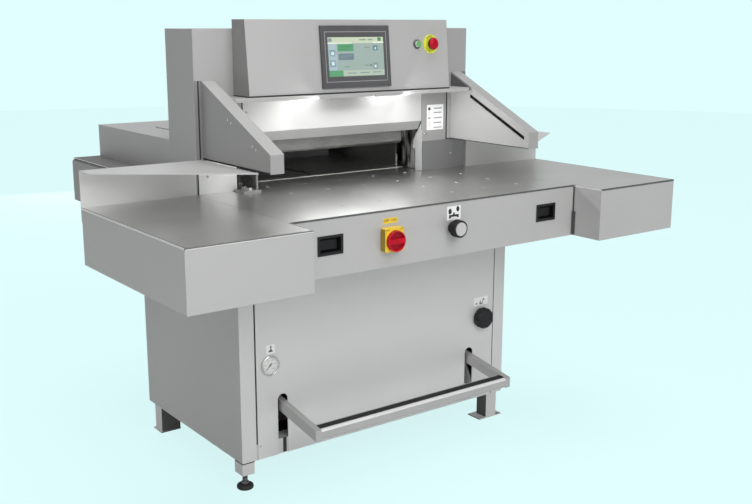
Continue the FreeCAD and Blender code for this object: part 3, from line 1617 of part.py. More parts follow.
def rear_cover():
    """The cover over the rear table, its hinged lid and the hinge pins."""
    outer = block(
        "cover_outer",
        ("0 - cover_half_width", "cover_half_width"),
        (COLUMN_BACK, MACHINE_BACK),
        ("tray_top", "cover_top"),
    )
    hollow = block(
        "cover_hollow",
        (f"0 - cover_half_width + {SHEET}", f"cover_half_width - {SHEET}"),
        (f"{COLUMN_BACK} - 1", f"{MACHINE_BACK} - {SHEET}"),
        ("tray_top - 1", f"cover_top - {SHEET}"),
    )
    lid_front = behind("lid_setback")
    lid_back = behind("(lid_setback + lid_depth)")
    hatch = block(
        "cover_hatch",
        ("0 - lid_half_width + lid_overlap", "lid_half_width - lid_overlap"),
        (f"{lid_front} + lid_overlap", f"{lid_back} - lid_overlap"),
        (f"cover_top - {SHEET} - 1", "cover_top + 1"),
    )
    axis_y = f"({lid_front} - hinge_lead)"
    axis_z = "(cover_top + hinge_height)"
    bore = "hinge_pin_radius + running_fit"
    ears = []
    barrels = []
    pins = []
    lid_bottom = "(cover_top + part_gap)"
    for side, hand in ((-1, "left"), (1, "right")):
        middle = f"({side} * hinge_offset)"
        half = "hinge_knuckle / 2"
        for end_name, start, end in (
            ("near", f"{middle} - hinge_knuckle", f"{middle} - {half} - part_gap"),
            ("far", f"{middle} + {half} + part_gap", f"{middle} + hinge_knuckle"),
        ):
            name = f"{hand}_{end_name}"
            ear = fuse(
                f"ear_{name}",
                rod(f"ear_round_{name}", "x", (axis_y, axis_z), "hinge_radius", start, end),
                block(f"ear_foot_{name}", (start, end),
                      (f"{axis_y} - hinge_radius", f"{axis_y} + hinge_radius / 2"), ("cover_top", axis_z)),
            )
            hole = rod(f"ear_hole_{name}", "x", (axis_y, axis_z), bore, f"{start} - 1", f"{end} + 1")
            ears.append(cut(f"ear_bored_{name}", ear, hole))
        knuckle = fuse(
            f"lid_knuckle_{hand}",
            rod(f"knuckle_round_{hand}", "x", (axis_y, axis_z), "hinge_radius",
                f"{middle} - {half}", f"{middle} + {half}"),
            block(f"knuckle_strap_{hand}", (f"{middle} - {half}", f"{middle} + {half}"),
                  (axis_y, f"{lid_front} + lid_overlap"),
                  (f"{lid_bottom} + lid_sheet", f"{lid_bottom} + 2 * lid_sheet")),
        )
        knuckle_hole = rod(f"knuckle_hole_{hand}", "x", (axis_y, axis_z), bore,
                           f"{middle} - {half} - 1", f"{middle} + {half} + 1")
        barrels.append(cut(f"lid_barrel_{hand}", knuckle, knuckle_hole))
        pins.append(rod(f"hinge_pin_{hand}", "x", (axis_y, axis_z), "hinge_pin_radius",
                        f"{middle} - hinge_knuckle", f"{middle} + hinge_knuckle"))
    part("rear_cover", fuse("rear_cover", cut("cover_shell", outer, hollow, hatch), *ears))
    plate = block(
        "lid_plate",
        ("0 - lid_half_width", "lid_half_width"),
        (lid_front, lid_back),
        (lid_bottom, f"{lid_bottom} + lid_sheet"),
    )
    clear = rod("lid_clearance", "x", (axis_y, axis_z), "hinge_radius + part_gap",
                "0 - lid_half_width - 1", "lid_half_width + 1")
    trimmed = cut("lid_trimmed", plate, clear)
    part("rear_lid", fuse("rear_lid", trimmed, *barrels))
    part("lid_hinge_pins", group("lid_hinge_pins", *pins))


# Inside the cabinet

def power_units():
    """Oil tank, pump motor on it, and the blower for the air table."""
    left = "(0 - tank_left)"
    front = behind("tank_setback")
    tank_top = f"({RAIL_TOP} + tank_height)"
    shell = block("tank_block", (left, f"{left} + tank_width"), (front, f"{front} + tank_depth"),
                  (RAIL_TOP, tank_top))
    room = block(
        "tank_room",
        (f"{left} + tank_wall", f"{left} + tank_width - tank_wall"),
        (f"{front} + tank_wall", f"{front} + tank_depth - tank_wall"),
        (f"{RAIL_TOP} + tank_wall", f"{tank_top} - tank_wall"),
    )
    part("oil_tank", cut("oil_tank", shell, room))
    x = f"({left} + tank_width / 2)"
    y = f"({front} + tank_depth / 2)"
    z = f"({tank_top} + pump_radius + rail_wall)"
    can = rod("pump_can", "y", (x, z), "pump_radius", f"{y} - pump_length / 2", f"{y} + pump_length / 2")
    foot = block("pump_foot", (f"{x} - pump_foot_width / 2", f"{x} + pump_foot_width / 2"),
                 (f"{y} - pump_length / 4", f"{y} + pump_length / 4"), (tank_top, z))
    part("pump_motor", fuse("pump_motor", can, foot))
    drum_y = behind("blower_setback")
    drum_z = f"({RAIL_TOP} + blower_radius + rail_wall)"
    span = ("blower_left", "blower_left + blower_length")
    drum = rod("blower_drum", "x", (drum_y, drum_z), "blower_radius", *span)
    base = block("blower_foot", span,
                 (f"{drum_y} - blower_foot_depth / 2", f"{drum_y} + blower_foot_depth / 2"),
                 (RAIL_TOP, f"{RAIL_TOP} + 2 * rail_wall"))
    part("air_blower", fuse("air_blower", drum, base))


# Cabinet front

def pressure_gauge():
    """Pressure gauge: case with ring, needle and glass."""
    case = turned("gauge_case", [
        ("0", "0 - dial_case_depth"),
        ("dial_case_radius", "0 - dial_case_depth"),
        ("dial_case_radius", "0"),
        ("dial_radius", "0"),
        ("dial_radius", "dial_proud - 2"),
        ("dial_radius - 2", "dial_proud"),
        ("dial_radius - dial_ring", "dial_proud"),
        ("dial_radius - dial_ring", "dial_proud - dial_recess"),
        ("0", "dial_proud - dial_recess"),
    ])
    spindle_hole = rod("dial_spindle_hole", "z", ("0", "0"), "needle_hub_radius / 2 + running_fit",
                       "dial_proud - dial_recess - 4", "dial_proud + 1")
    case_bored = cut("gauge_case_bored", case, spindle_hole)
    part("pressure_gauge", face_on_cabinet(case_bored, "0 - dial_offset", "dial_level"))
    base = "(dial_proud - dial_recess + part_gap)"
    hub = rod("needle_hub", "z", ("0", "0"), "needle_hub_radius", base, f"{base} + needle_thickness + 1")
    spindle = rod("needle_spindle", "z", ("0", "0"), "needle_hub_radius / 2",
                  "dial_proud - dial_recess - 3", base)
    pointer = doc.addObject("Part::Box", "needle_pointer")
    bind(pointer, "Length", "needle_width")
    bind(pointer, "Width", "needle_length * 4 / 3")
    bind(pointer, "Height", "needle_thickness")
    tail = "(needle_length / 3)"
    place(
        pointer,
        f"{tail} * sin(needle_rest) - needle_width / 2 * cos(needle_rest)",
        f"0 - {tail} * cos(needle_rest) - needle_width / 2 * sin(needle_rest)",
        base,
        Vector(0, 0, 1),
        "needle_rest",
    )
    needle = fuse("gauge_needle", hub, spindle, pointer)
    part("gauge_needle", face_on_cabinet(needle, "0 - dial_offset", "dial_level"))
    glass = rod("dial_glass", "z", ("0", "0"), "dial_radius - dial_ring - 0.1",
                "dial_proud - glass_thickness - 0.5", "dial_proud - 0.5")
    part("gauge_glass", face_on_cabinet(group("gauge_glass_disc", glass), "0 - dial_offset", "dial_level"))


def face_on_cabinet(thing, x, level):
    """Stand a turned part on the cabinet's front, its own Z axis towards the operator."""
    return place(thing, x, CABINET_FRONT, level, Vector(1, 0, 0), "90")


def pressure_knob():
    """Grooved knob on its spindle."""
    body = turned("knob_body", [
        ("0", "0 - spindle_depth"),
        ("spindle_radius", "0 - spindle_depth"),
        ("spindle_radius", "part_gap"),
        ("knob_radius - 4", "part_gap"),
        ("knob_radius", "4"),
        ("knob_radius", "knob_depth - 6"),
        ("knob_radius - 6", "knob_depth"),
        ("0", "knob_depth"),
    ])
    grooves = []
    lobes = int(size("knob_lobes"))
    for index in range(lobes):
        angle = f"({index} * 360 / {lobes})"
        reach = "(knob_radius + knob_groove / 2)"
        centre = (f"{reach} * cos{angle}", f"{reach} * sin{angle}")
        grooves.append(rod(f"knob_groove_{index}", "z", centre, "knob_groove", "0 - 1", "knob_depth + 1"))
    part("pressure_knob", face_on_cabinet(cut("pressure_knob", body, *grooves), "knob_offset", "knob_level"))


def pedal():
    """The foot pedal, its rubber tread and the brackets it turns in."""
    front = behind("pedal_bar_setback")
    pivot_y = behind("pedal_pivot_setback")
    arm_bottom = "(pedal_top - pedal_arm_height)"
    left = "(pedal_centre - pedal_half_width)"
    right = "(pedal_centre + pedal_half_width)"
    pieces = []
    for hand, span in (
        ("left", (left, f"{left} + pedal_arm_width")),
        ("right", (f"{right} - pedal_arm_width", right)),
    ):
        pieces.append(profile(f"pedal_arm_{hand}", "YZ_Plane", [
            (front, arm_bottom),
            (pivot_y, "pedal_pivot_level - pedal_arm_height / 2"),
            (pivot_y, "pedal_pivot_level + pedal_arm_height / 2"),
            (front, "pedal_top"),
        ], *span))
        pieces.append(rod(f"pedal_boss_{hand}", "x", (pivot_y, "pedal_pivot_level"),
                          "pedal_boss_radius", *span))
    bar = profile("pedal_bar", "YZ_Plane", [
        (front, arm_bottom),
        (f"{front} + pedal_bar_depth", arm_bottom),
        (f"{front} + pedal_bar_depth", "pedal_top"),
        (front, "pedal_top"),
    ], f"{left} + pedal_arm_width", f"{right} - pedal_arm_width")
    edge_y = size(front)
    round_edges(bar, "pedal_bar_round", lambda edge: all(
        abs(vertex.Y - edge_y) < 0.1 for vertex in edge.Vertexes
    ) and abs(edge.tangentAt(edge.FirstParameter).x) > 0.9)
    wall = "pedal_wall"
    pieces.append(cut("pedal_tube", bar, block(
        "pedal_bar_room",
        (f"{left} + pedal_arm_width - 1", f"{right} - pedal_arm_width + 1"),
        (f"{front} + {wall}", f"{front} + pedal_bar_depth - {wall}"),
        (f"{arm_bottom} + {wall}", f"pedal_top - {wall}"),
    )))
    reach = "(bracket_gap + bracket_thickness)"
    pieces.append(rod("pedal_shaft", "x", (pivot_y, "pedal_pivot_level"), "pedal_shaft_radius",
                      f"{left} - {reach}", f"{right} + {reach}"))
    part("pedal_frame", fuse("pedal_frame", *pieces))
    part("pedal_tread", block(
        "pedal_tread",
        (f"{left} + pedal_arm_width", f"{right} - pedal_arm_width"),
        (f"{front} + tread_front_inset", f"{front} + tread_front_inset + tread_depth"),
        ("pedal_top", "pedal_top + tread_height"),
    ))
    rail_front = f"({CABINET_FRONT} + {SHEET})"
    brackets = []
    for hand, span in (
        ("left", (f"{left} - {reach}", f"{left} - bracket_gap")),
        ("right", (f"{right} + bracket_gap", f"{right} + {reach}")),
    ):
        half = "bracket_width / 2"
        plate = profile(f"bracket_plate_{hand}", "YZ_Plane", [
            (rail_front, RAIL_TOP),
            (f"{rail_front} + rail_size", RAIL_TOP),
            (f"{pivot_y} + {half}", f"pedal_pivot_level - {half}"),
            (f"{pivot_y} + {half}", f"pedal_pivot_level + {half}"),
            (f"{pivot_y} - {half}", f"pedal_pivot_level + {half}"),
        ], *span)
        hole = rod(f"bracket_hole_{hand}", "x", (pivot_y, "pedal_pivot_level"),
                   "pedal_shaft_radius + running_fit", f"{span[0]} - 1", f"{span[1]} + 1")
        brackets.append(cut(f"pedal_bracket_{hand}", plate, hole))
    part("pedal_brackets", group("pedal_brackets", *brackets))


# Fasteners

def fasteners():
    """Screw heads that show on the covers, and the side guide's two bolts."""
    head = "screw_head_height"
    heads = []
    for side, hand in ((-1, "left"), (1, "right")):
        outer = f"({side} * arm_outer)"
        span = (f"{outer} - {head}", outer) if side < 0 else (outer, f"{outer} + {head}")
        for name, setback in (
            ("a", "(slit_front + arm_screw_lead)"),
            ("b", "(slit_front + arm_screw_lead + arm_screw_pitch)"),
            ("c", "(slit_back - arm_screw_lead - arm_screw_pitch)"),
            ("d", "(slit_back - arm_screw_lead)"),
        ):
            level = f"(slit_front_level + {SLIT_SLOPE} * ({setback} - slit_front))"
            heads.append(rod(f"arm_screw_{hand}_{name}", "x", (behind(setback), level),
                             "screw_head_radius", *span))
        outer = f"({side} * {SIDE})"
        span = (f"{outer} - {head}", outer) if side < 0 else (outer, f"{outer} + {head}")
        for name, y in (
            ("rear", f"{CABINET_BACK} - side_screw_rear_inset"),
            ("middle", f"{CABINET_BACK} - side_screw_rear_inset - side_screw_pitch"),
            ("front", f"{CABINET_FRONT} + side_screw_front_inset"),
        ):
            heads.append(rod(f"side_screw_{hand}_{name}", "x", (y, "cabinet_bottom + side_screw_rise"),
                             "screw_head_radius", *span))
        fence_x = "0 - fence_screw_left" if side < 0 else "fence_screw_right"
        heads.append(rod(f"fence_screw_{hand}", "y", (fence_x, "fence_top - fence_screw_drop"),
                         "screw_head_radius", f"{COLUMN_FRONT} - fence_sheet - {head}",
                         f"{COLUMN_FRONT} - fence_sheet"))
    door_x = f"0 - {SIDE} + corner_strip + door_seam + door_screw_inset"
    heads.append(rod("door_screw", "y", (door_x, "cabinet_bottom + door_screw_rise"),
                     "screw_head_radius - 1", f"{CABINET_FRONT} - {head}", CABINET_FRONT))
    heads.append(rod("guard_screw", "y", ("0 - throat_left + guard_screw_inset", "guard_screw_level"),
                     "screw_head_radius", f"{COLUMN_FRONT} - {head}", COLUMN_FRONT))
    heads.append(rod("jamb_hook", "y", ("throat_right + jamb_hook_inset", "jamb_hook_level"),
                     "hook_radius", f"{COLUMN_FRONT} - 2 * {head}", COLUMN_FRONT))
    foot_x = "(0 - guide_face - guide_plate - (guide_foot_width - guide_plate) / 2)"
    foot_top = "(table_height + guide_foot_thickness)"
    for name, share in (("front", 1), ("back", 3)):
        y = behind(f"(guide_foot_setback + guide_foot_depth * {share} / 4)")
        heads.append(rod(f"guide_bolt_{name}", "z", (foot_x, y), "guide_bolt_radius", foot_top,
                         f"{foot_top} + guide_bolt_height"))
    part("cover_screws", group("cover_screws", *heads))


def hand_over():
    """Recompute, test every object, and write one file for each sub-part."""
    doc.recompute()
    faults = []
    for thing in doc.Objects:
        if "Invalid" in thing.State or "Error" in thing.State:
            faults.append(f"{thing.Name}: {thing.State}")
    for thing in parts:
        if thing.Shape.isNull() or not thing.Shape.isValid():
            faults.append(f"{thing.Label}: no valid shape")
    if faults:
        raise RuntimeError("\n".join(faults))
    os.makedirs("parts", exist_ok=True)
    for thing in parts:
        thing.Shape.exportStep(f"parts/{thing.Label}.step")
    print(len(parts), "sub-parts written")


base_frame()
levelling_foot()
cabinet_sides()
front_panel()
rear_panel()
cable_gland()
table_bed()
cutting_stick()
centre_table()
wings()
apron()
cut_buttons()
main_switch()
handwheel()
side_frames()
head_beam()
yoke_covers()
guard_panel()
jamb_panels()
sill()
console()
touch_screen()
console_buttons()
arms()
fences()
side_guide()
knife()
clamp()
cylinders()
rear_table()
back_gauge()
gauge_drive()
rear_tray()
rear_cover()
power_units()
pressure_gauge()
pressure_knob()
pedal()
fasteners()
hand_over()
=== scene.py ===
"""Electric paper cutter: the finished surfaces and the small parts on the cutter's fixed frame.

The machine stands on Z = 0, X runs to the operator's right and Y away from the operator.
Sizes in this file are millimetres unless a property says otherwise.
"""

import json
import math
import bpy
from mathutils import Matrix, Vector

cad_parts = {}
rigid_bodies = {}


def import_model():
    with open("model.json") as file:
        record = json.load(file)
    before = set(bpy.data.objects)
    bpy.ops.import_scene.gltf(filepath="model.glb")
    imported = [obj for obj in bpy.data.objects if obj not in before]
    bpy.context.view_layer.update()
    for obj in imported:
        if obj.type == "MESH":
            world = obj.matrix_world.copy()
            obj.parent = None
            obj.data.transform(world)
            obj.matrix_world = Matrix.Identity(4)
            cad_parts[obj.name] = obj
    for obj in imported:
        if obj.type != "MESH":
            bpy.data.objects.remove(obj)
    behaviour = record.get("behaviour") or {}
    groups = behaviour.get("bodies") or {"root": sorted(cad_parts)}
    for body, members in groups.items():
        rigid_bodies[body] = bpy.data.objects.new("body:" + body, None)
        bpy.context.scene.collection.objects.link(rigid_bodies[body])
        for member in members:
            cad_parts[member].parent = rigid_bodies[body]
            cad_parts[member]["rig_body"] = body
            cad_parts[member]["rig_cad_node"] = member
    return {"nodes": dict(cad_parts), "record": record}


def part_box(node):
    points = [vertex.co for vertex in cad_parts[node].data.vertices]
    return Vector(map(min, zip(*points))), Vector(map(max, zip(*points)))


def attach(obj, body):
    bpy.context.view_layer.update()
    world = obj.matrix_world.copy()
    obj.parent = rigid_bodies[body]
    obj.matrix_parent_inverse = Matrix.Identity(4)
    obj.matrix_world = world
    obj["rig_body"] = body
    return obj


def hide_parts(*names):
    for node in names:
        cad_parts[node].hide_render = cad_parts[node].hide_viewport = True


bl_info = {
    "name": "Paper cutter finish",
    "version": (1, 0, 0),
    "blender": (4, 5, 0),
    "location": "3D View > Sidebar > Cutter",
    "description": "Dresses an electric paper cutter in its sheet metal, controls and light",
    "category": "Object",
}

import bmesh
import bpy
from mathutils import Euler, Matrix, Vector

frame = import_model()

SLOT_OF = {part["node"]: part["material_slot"] for part in frame["record"]["subparts"]}
BODY_OF = {node: body for body, nodes in frame["record"]["behaviour"]["bodies"].items() for node in nodes}

WING_FRONT = -705.5
APRON = WING_FRONT + 116
CABINET = WING_FRONT + 419
JAMB = WING_FRONT + 649
TILT = math.radians(5.4)
SILL_LEVEL = 1177
CONSOLE_FOOT = WING_FRONT + 551
UPWARD = (0, 0, 0)
FRONTWARD = (math.radians(90), 0, 0)
CONSOLEWARD = (math.radians(90) - TILT, 0, 0)
MICRO = 1e6
SHARP = math.radians(32)


# Sizes and colours that a user would change

def length(name, description, default, low=0.0):
    return bpy.props.FloatProperty(
        name=name, description=description, default=default / 1000, min=low, subtype="DISTANCE",
        unit="LENGTH", precision=5)


def colour(name, description, default):
    return bpy.props.FloatVectorProperty(
        name=name, description=description, default=default, size=3, min=0, max=1, subtype="COLOR")


class CutterSizes(bpy.types.PropertyGroup):
    sheet_round: length("Sheet round", "Radius on the folded and cut edges of the sheet metal", 1.1)
    steel_round: length("Steel round", "Radius on the edges of the machined steel", 0.6)
    plastic_round: length("Plastic round", "Radius on the edges of the moulded parts", 0.9)
    label_sheet: length("Label sheet", "Thickness of a printed plate", 0.4)
    mark_sheet: length("Mark sheet", "Thickness of a printed mark", 0.15)
    tread_pitch: length("Tread pitch", "Distance between the ribs of the pedal's tread", 4.0)


class CutterColours(bpy.types.PropertyGroup):
    silver: colour("Silver paint", "Powder coat of the covers", (0.515, 0.515, 0.51))
    stainless: colour("Stainless", "Brushed sheet of the tables", (0.68, 0.675, 0.665))
    signal_yellow: colour("Signal yellow", "Plate of the main switch", (0.86, 0.60, 0.035))
    signal_red: colour("Signal red", "Main switch and stop button", (0.60, 0.0, 0.02))
    lens_green: colour("Lens green", "Start button", (0.17, 0.46, 0.17))
    backdrop: colour("Backdrop", "Floor and background", (0.753, 1.0, 1.0))


# Working on one piece at a time

def mm(*values):
    """Millimetres as a vector in metres."""
    return Vector(values) / 1000


def deselect():
    if bpy.context.mode != "OBJECT":
        bpy.ops.object.mode_set(mode="OBJECT")
    bpy.ops.object.select_all(action="DESELECT")


def select(*things):
    deselect()
    for thing in things:
        thing.select_set(True)
    bpy.context.view_layer.objects.active = things[0]


def edit(thing, kind="FACE"):
    select(thing)
    bpy.ops.object.mode_set(mode="EDIT")
    bpy.ops.mesh.select_mode(type=kind)
    bpy.ops.mesh.select_all(action="DESELECT")


def leave():
    bpy.ops.object.mode_set(mode="OBJECT")


def mark(thing, kind, test):
    """Select the faces, edges or verts that pass the test."""
    mesh = bmesh.from_edit_mesh(thing.data)
    for item in getattr(mesh, kind):
        item.select_set(bool(test(item)))
    mesh.select_flush_mode()
    bmesh.update_edit_mesh(thing.data)


def mark_faces(thing, test):
    """Select the faces whose middle (in metres) and normal pass the test."""
    mark(thing, "faces", lambda face: test(face.calc_center_median(), face.normal))


def mark_edges(thing, test):
    """Select the edges whose two ends pass the test."""
    mark(thing, "edges", lambda edge: test(edge.verts[0].co, edge.verts[1].co))


def mark_points(thing, test):
    """Select the points whose place passes the test."""
    mark(thing, "verts", lambda vertex: test(vertex.co))


def apply_all(thing):
    """Apply the modifiers in their order."""
    select(thing)
    for modifier in list(thing.modifiers):
        bpy.ops.object.modifier_apply(modifier=modifier.name)


def soften(thing, width, segments=2):
    """Round the sharp edges of a piece by a width in metres."""
    bevel = thing.modifiers.new("edge round", "BEVEL")
    bevel.width = width
    bevel.segments = segments
    bevel.limit_method = "ANGLE"
    bevel.angle_limit = SHARP
    apply_all(thing)


def settled():
    """The piece in hand, with its place, turn and size applied to its mesh."""
    bpy.ops.object.transform_apply(location=True, rotation=True, scale=True)
    return bpy.context.view_layer.objects.active


def put(thing, centre, turn=UPWARD):
    """Stand a piece that was made round the origin at its place, in millimetres."""
    thing.rotation_euler = turn
    thing.location = mm(*centre)
    select(thing)
    return settled()


def copied(thing):
    """A copy of a piece with a mesh of its own."""
    select(thing)
    bpy.ops.object.duplicate(linked=False)
    return bpy.context.view_layer.objects.active


def joined(things):
    """One mesh from several pieces of the same finish."""
    if len(things) > 1:
        select(*things)
        bpy.ops.object.join()
    return things[0]


def hand_over(thing, name, slot, tone, stands_for=(), smooth=35, body="machine"):
    """Name a finished piece, give it its finish and let it ride on its body."""
    thing.name = name
    thing.data.name = name
    thing.data.materials.clear()
    thing.data.materials.append(FINISHES[tone])
    select(thing)
    bpy.ops.object.shade_smooth_by_angle(angle=math.radians(smooth))
    even = thing.modifiers.new("even normals", "WEIGHTED_NORMAL")
    even.keep_sharp = True
    even.weight = 100
    apply_all(thing)
    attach(thing, body)
    if stands_for:
        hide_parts(*stands_for)
    return thing


def mount(thing, place, turn, *rest, **settings):
    """Put a finished piece at its place and hand it over."""
    return hand_over(put(thing, place, turn), *rest, **settings)


# Shapes that the small parts start from

def turned(steps, sides=48):
    """A round piece along Z: a disc carried through pairs of height and radius."""
    low, start = steps[0]
    bpy.ops.mesh.primitive_circle_add(
        vertices=sides, radius=start / 1000, fill_type="NGON", location=mm(0, 0, low))
    thing = settled()
    edit(thing)
    bpy.ops.mesh.select_all(action="SELECT")
    for (before, wide), (after, narrow) in zip(steps, steps[1:]):
        bpy.ops.mesh.extrude_region_move(TRANSFORM_OT_translate={"value": mm(0, 0, after - before)})
        if narrow != wide:
            ratio = narrow / wide
            bpy.ops.transform.resize(value=(ratio, ratio, 1), center_override=mm(0, 0, after))
    bpy.ops.mesh.select_all(action="SELECT")
    bpy.ops.mesh.normals_make_consistent(inside=False)
    leave()
    return thing


def block(low, high):
    """A rectangular block between two corners."""
    low, high = Vector(low), Vector(high)
    bpy.ops.mesh.primitive_cube_add(size=1, location=mm(*((low + high) / 2)))
    bpy.context.view_layer.objects.active.scale = mm(*(high - low))
    return settled()


def plate(wide, high, thick, corner=0.0, low=0.0, middle=(0, 0), segments=5):
    """A plate round the origin with rounded corners, from height low upward."""
    x, y = middle
    thing = block((x - wide / 2, y - high / 2, low), (x + wide / 2, y + high / 2, low + thick))
    if corner:
        edit(thing, "EDGE")
        mark_edges(thing, lambda a, b: abs(a.z - b.z) > thick / 1000 * 0.9)
        bpy.ops.mesh.bevel(offset=corner / 1000, segments=segments, affect="EDGES")
        leave()
    return thing


def frame_plate(wide, high, border, thick, low=0.0):
    """A flat rectangular frame round the origin."""
    thing = block((-wide / 2, -high / 2, low), (wide / 2, high / 2, low + thick))
    edit(thing)
    mark_faces(thing, lambda place, way: abs(way.z) > 0.9)
    bpy.ops.mesh.inset(thickness=border / 1000)
    bpy.ops.mesh.bridge_edge_loops()
    leave()
    return thing


def bar(wide, high, thick, middle=(0, 0), low=0.0, turn=0.0):
    """A flat bar in the XY plane, turned about its middle by an angle in degrees."""
    thing = block((-wide / 2, -high / 2, low), (wide / 2, high / 2, low + thick))
    return put(thing, (middle[0], middle[1], 0), (0, 0, math.radians(turn)))


def disc(wide, high, thick, middle=(0, 0), low=0.0, sides=32):
    """A flat oval round its middle."""
    thing = turned([(low, wide / 2), (low + thick, wide / 2)], sides)
    thing.scale = (1, high / wide, 1)
    return put(thing, (middle[0], middle[1], 0))


def ribs(thing, test, depth):
    """Sink or raise every second face that passes the test, along its own normal."""
    edit(thing)
    mesh = bmesh.from_edit_mesh(thing.data)
    found = [face for face in mesh.faces if test(face.calc_center_median(), face.normal)]
    found.sort(key=lambda face: math.atan2(face.calc_center_median().y, face.calc_center_median().x))
    for number, face in enumerate(found):
        face.select_set(number % 2 == 0)
    bmesh.update_edit_mesh(thing.data)
    bpy.ops.mesh.inset(thickness=0.0002, depth=depth, use_individual=True)
    leave()
    return thing


def hexagon(radius, low, high):
    """A six-sided prism along Z."""
    bpy.ops.mesh.primitive_cylinder_add(
        vertices=6, radius=radius / 1000, depth=(high - low) / 1000, location=mm(0, 0, (low + high) / 2))
    return settled()


def bored(thing, tool):
    """Take the tool's shape out of a piece and remove the tool."""
    hole = thing.modifiers.new("socket", "BOOLEAN")
    hole.operation = "DIFFERENCE"
    hole.solver = "EXACT"
    hole.object = tool
    apply_all(thing)
    bpy.data.objects.remove(tool)
    return thing


def arc(inner, outer, start, stop, low, thick, steps=16):
    """A flat arc round the origin, between two angles in degrees."""
    bpy.ops.mesh.primitive_plane_add(size=1)
    thing = bpy.context.view_layer.objects.active
    edit(thing, "VERT")
    mark_points(thing, lambda place: place.y > 0)
    bpy.ops.mesh.delete(type="VERT")
    mesh = bmesh.from_edit_mesh(thing.data)
    turn = Matrix.Rotation(math.radians(start), 3, "Z")
    for vertex in mesh.verts:
        radius = outer if vertex.co.x > 0 else inner
        vertex.co = turn @ mm(radius, 0, low)
    bmesh.update_edit_mesh(thing.data)
    bpy.ops.mesh.select_all(action="SELECT")
    bpy.ops.mesh.spin(steps=steps, angle=math.radians(stop - start), center=(0, 0, 0), axis=(0, 0, 1))
    bpy.ops.mesh.select_all(action="SELECT")
    bpy.ops.mesh.extrude_region_move(TRANSFORM_OT_translate={"value": mm(0, 0, thick)})
    bpy.ops.mesh.select_all(action="SELECT")
    bpy.ops.mesh.normals_make_consistent(inside=False)
    leave()
    return thing


def words(text, size, thick, middle=(0, 0), low=0.0):
    """Raised letters or numbers round the origin."""
    bpy.ops.object.text_add(location=mm(middle[0], middle[1], low))
    thing = bpy.context.view_layer.objects.active
    thing.data.body = text
    thing.data.size = size / 1000
    thing.data.align_x = "CENTER"
    thing.data.align_y = "CENTER"
    thing.data.extrude = thick / 1000
    thing.data.resolution_u = 4
    select(thing)
    bpy.ops.object.convert(target="MESH")
    return settled()


def islands(node):
    """The boxes of a node's separate solids, in millimetres."""
    mesh = bmesh.new()
    mesh.from_mesh(frame["nodes"][node].data)
    bmesh.ops.remove_doubles(mesh, verts=mesh.verts, dist=1e-6)
    boxes = []
    waiting = set(mesh.verts)
    while waiting:
        stack = [waiting.pop()]
        found = [stack[0]]
        while stack:
            for edge in stack.pop().link_edges:
                for vertex in edge.verts:
                    if vertex in waiting:
                        waiting.remove(vertex)
                        stack.append(vertex)
                        found.append(vertex)
        low = Vector([min(v.co[k] for v in found) for k in range(3)]) * 1000
        high = Vector([max(v.co[k] for v in found) for k in range(3)]) * 1000
        boxes.append((low, high))
    mesh.free()
    return sorted(boxes, key=lambda box: tuple(round(value, 3) for value in box[0]))


def eased(node, width, tone, segments=2):
    """The node's own shape with its sharp edges rounded, in place of the node."""
    source = frame["nodes"][node]
    source.hide_set(False)
    thing = copied(source)
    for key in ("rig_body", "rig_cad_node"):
        if key in thing:
            del thing[key]
    thing.parent = None
    edit(thing, "VERT")
    bpy.ops.mesh.select_all(action="SELECT")
    bpy.ops.mesh.remove_doubles(threshold=2e-6)
    bpy.ops.mesh.dissolve_limited(angle_limit=math.radians(0.5))
    leave()
    if width:
        soften(thing, width, segments)
    return hand_over(thing, node + "_finished", SLOT_OF[node], tone, (node,), body=BODY_OF[node])


def repaint(thing, tone, test):
    """Give the faces whose middle (in millimetres) and normal pass the test another finish."""
    thing.data.materials.append(FINISHES[tone])
    last = len(thing.data.materials) - 1
    for face in thing.data.polygons:
        if test(face.center * 1000, face.normal):
            face.material_index = last
    return thing


def on_console(across, level, out=0.0):
    """A place on the console's sloping front, in millimetres."""
    depth = CONSOLE_FOOT + math.tan(TILT) * (level - SILL_LEVEL)
    return across, depth - out * math.cos(TILT), level + out * math.sin(TILT)


def proud(node, across, level):
    """How far a node stands out of the console's front at most, in millimetres."""
    origin = mm(*on_console(across, level))
    normal = Vector((0, -math.cos(TILT), math.sin(TILT)))
    return max((vertex.co - origin).dot(normal) for vertex in frame["nodes"][node].data.vertices) * 1000


# Finishes

def wire(tree, kind, inputs=None, **settings):
    """Add one shader node; an input is a value or another node's output."""
    node = tree.nodes.new(kind)
    for key, value in settings.items():
        setattr(node, key, value)
    for key, value in (inputs or {}).items():
        socket = node.inputs[key]
        if isinstance(value, bpy.types.NodeSocket):
            tree.links.new(value, socket)
        else:
            socket.default_value = value
    return node


def field(tree, scale, detail=3.0, stretch=(1, 1, 1), turn=(0, 0, 0)):
    """Noise that is fixed to the piece."""
    place = wire(tree, "ShaderNodeTexCoord").outputs["Object"]
    place = wire(tree, "ShaderNodeMapping", {"Vector": place, "Rotation": turn, "Scale": stretch}).outputs[0]
    return wire(tree, "ShaderNodeTexNoise", {"Vector": place, "Scale": scale, "Detail": detail}).outputs[0]


def span(tree, value, low, high, start=0.3, stop=0.7):
    """Spread a field's middle part over a range."""
    return wire(tree, "ShaderNodeMapRange", {
        "Value": value, "From Min": start, "From Max": stop, "To Min": low, "To Max": high}).outputs[0]


def blend(tree, factor, one, other, mode="MIX"):
    """Mix two colours."""
    node = wire(tree, "ShaderNodeMix", data_type="RGBA", blend_type=mode)
    for number, value in ((0, factor), (6, one), (7, other)):
        if isinstance(value, bpy.types.NodeSocket):
            tree.links.new(value, node.inputs[number])
        elif number:
            node.inputs[number].default_value = (*value[:3], 1)
        else:
            node.inputs[number].default_value = value
    return node.outputs[2]


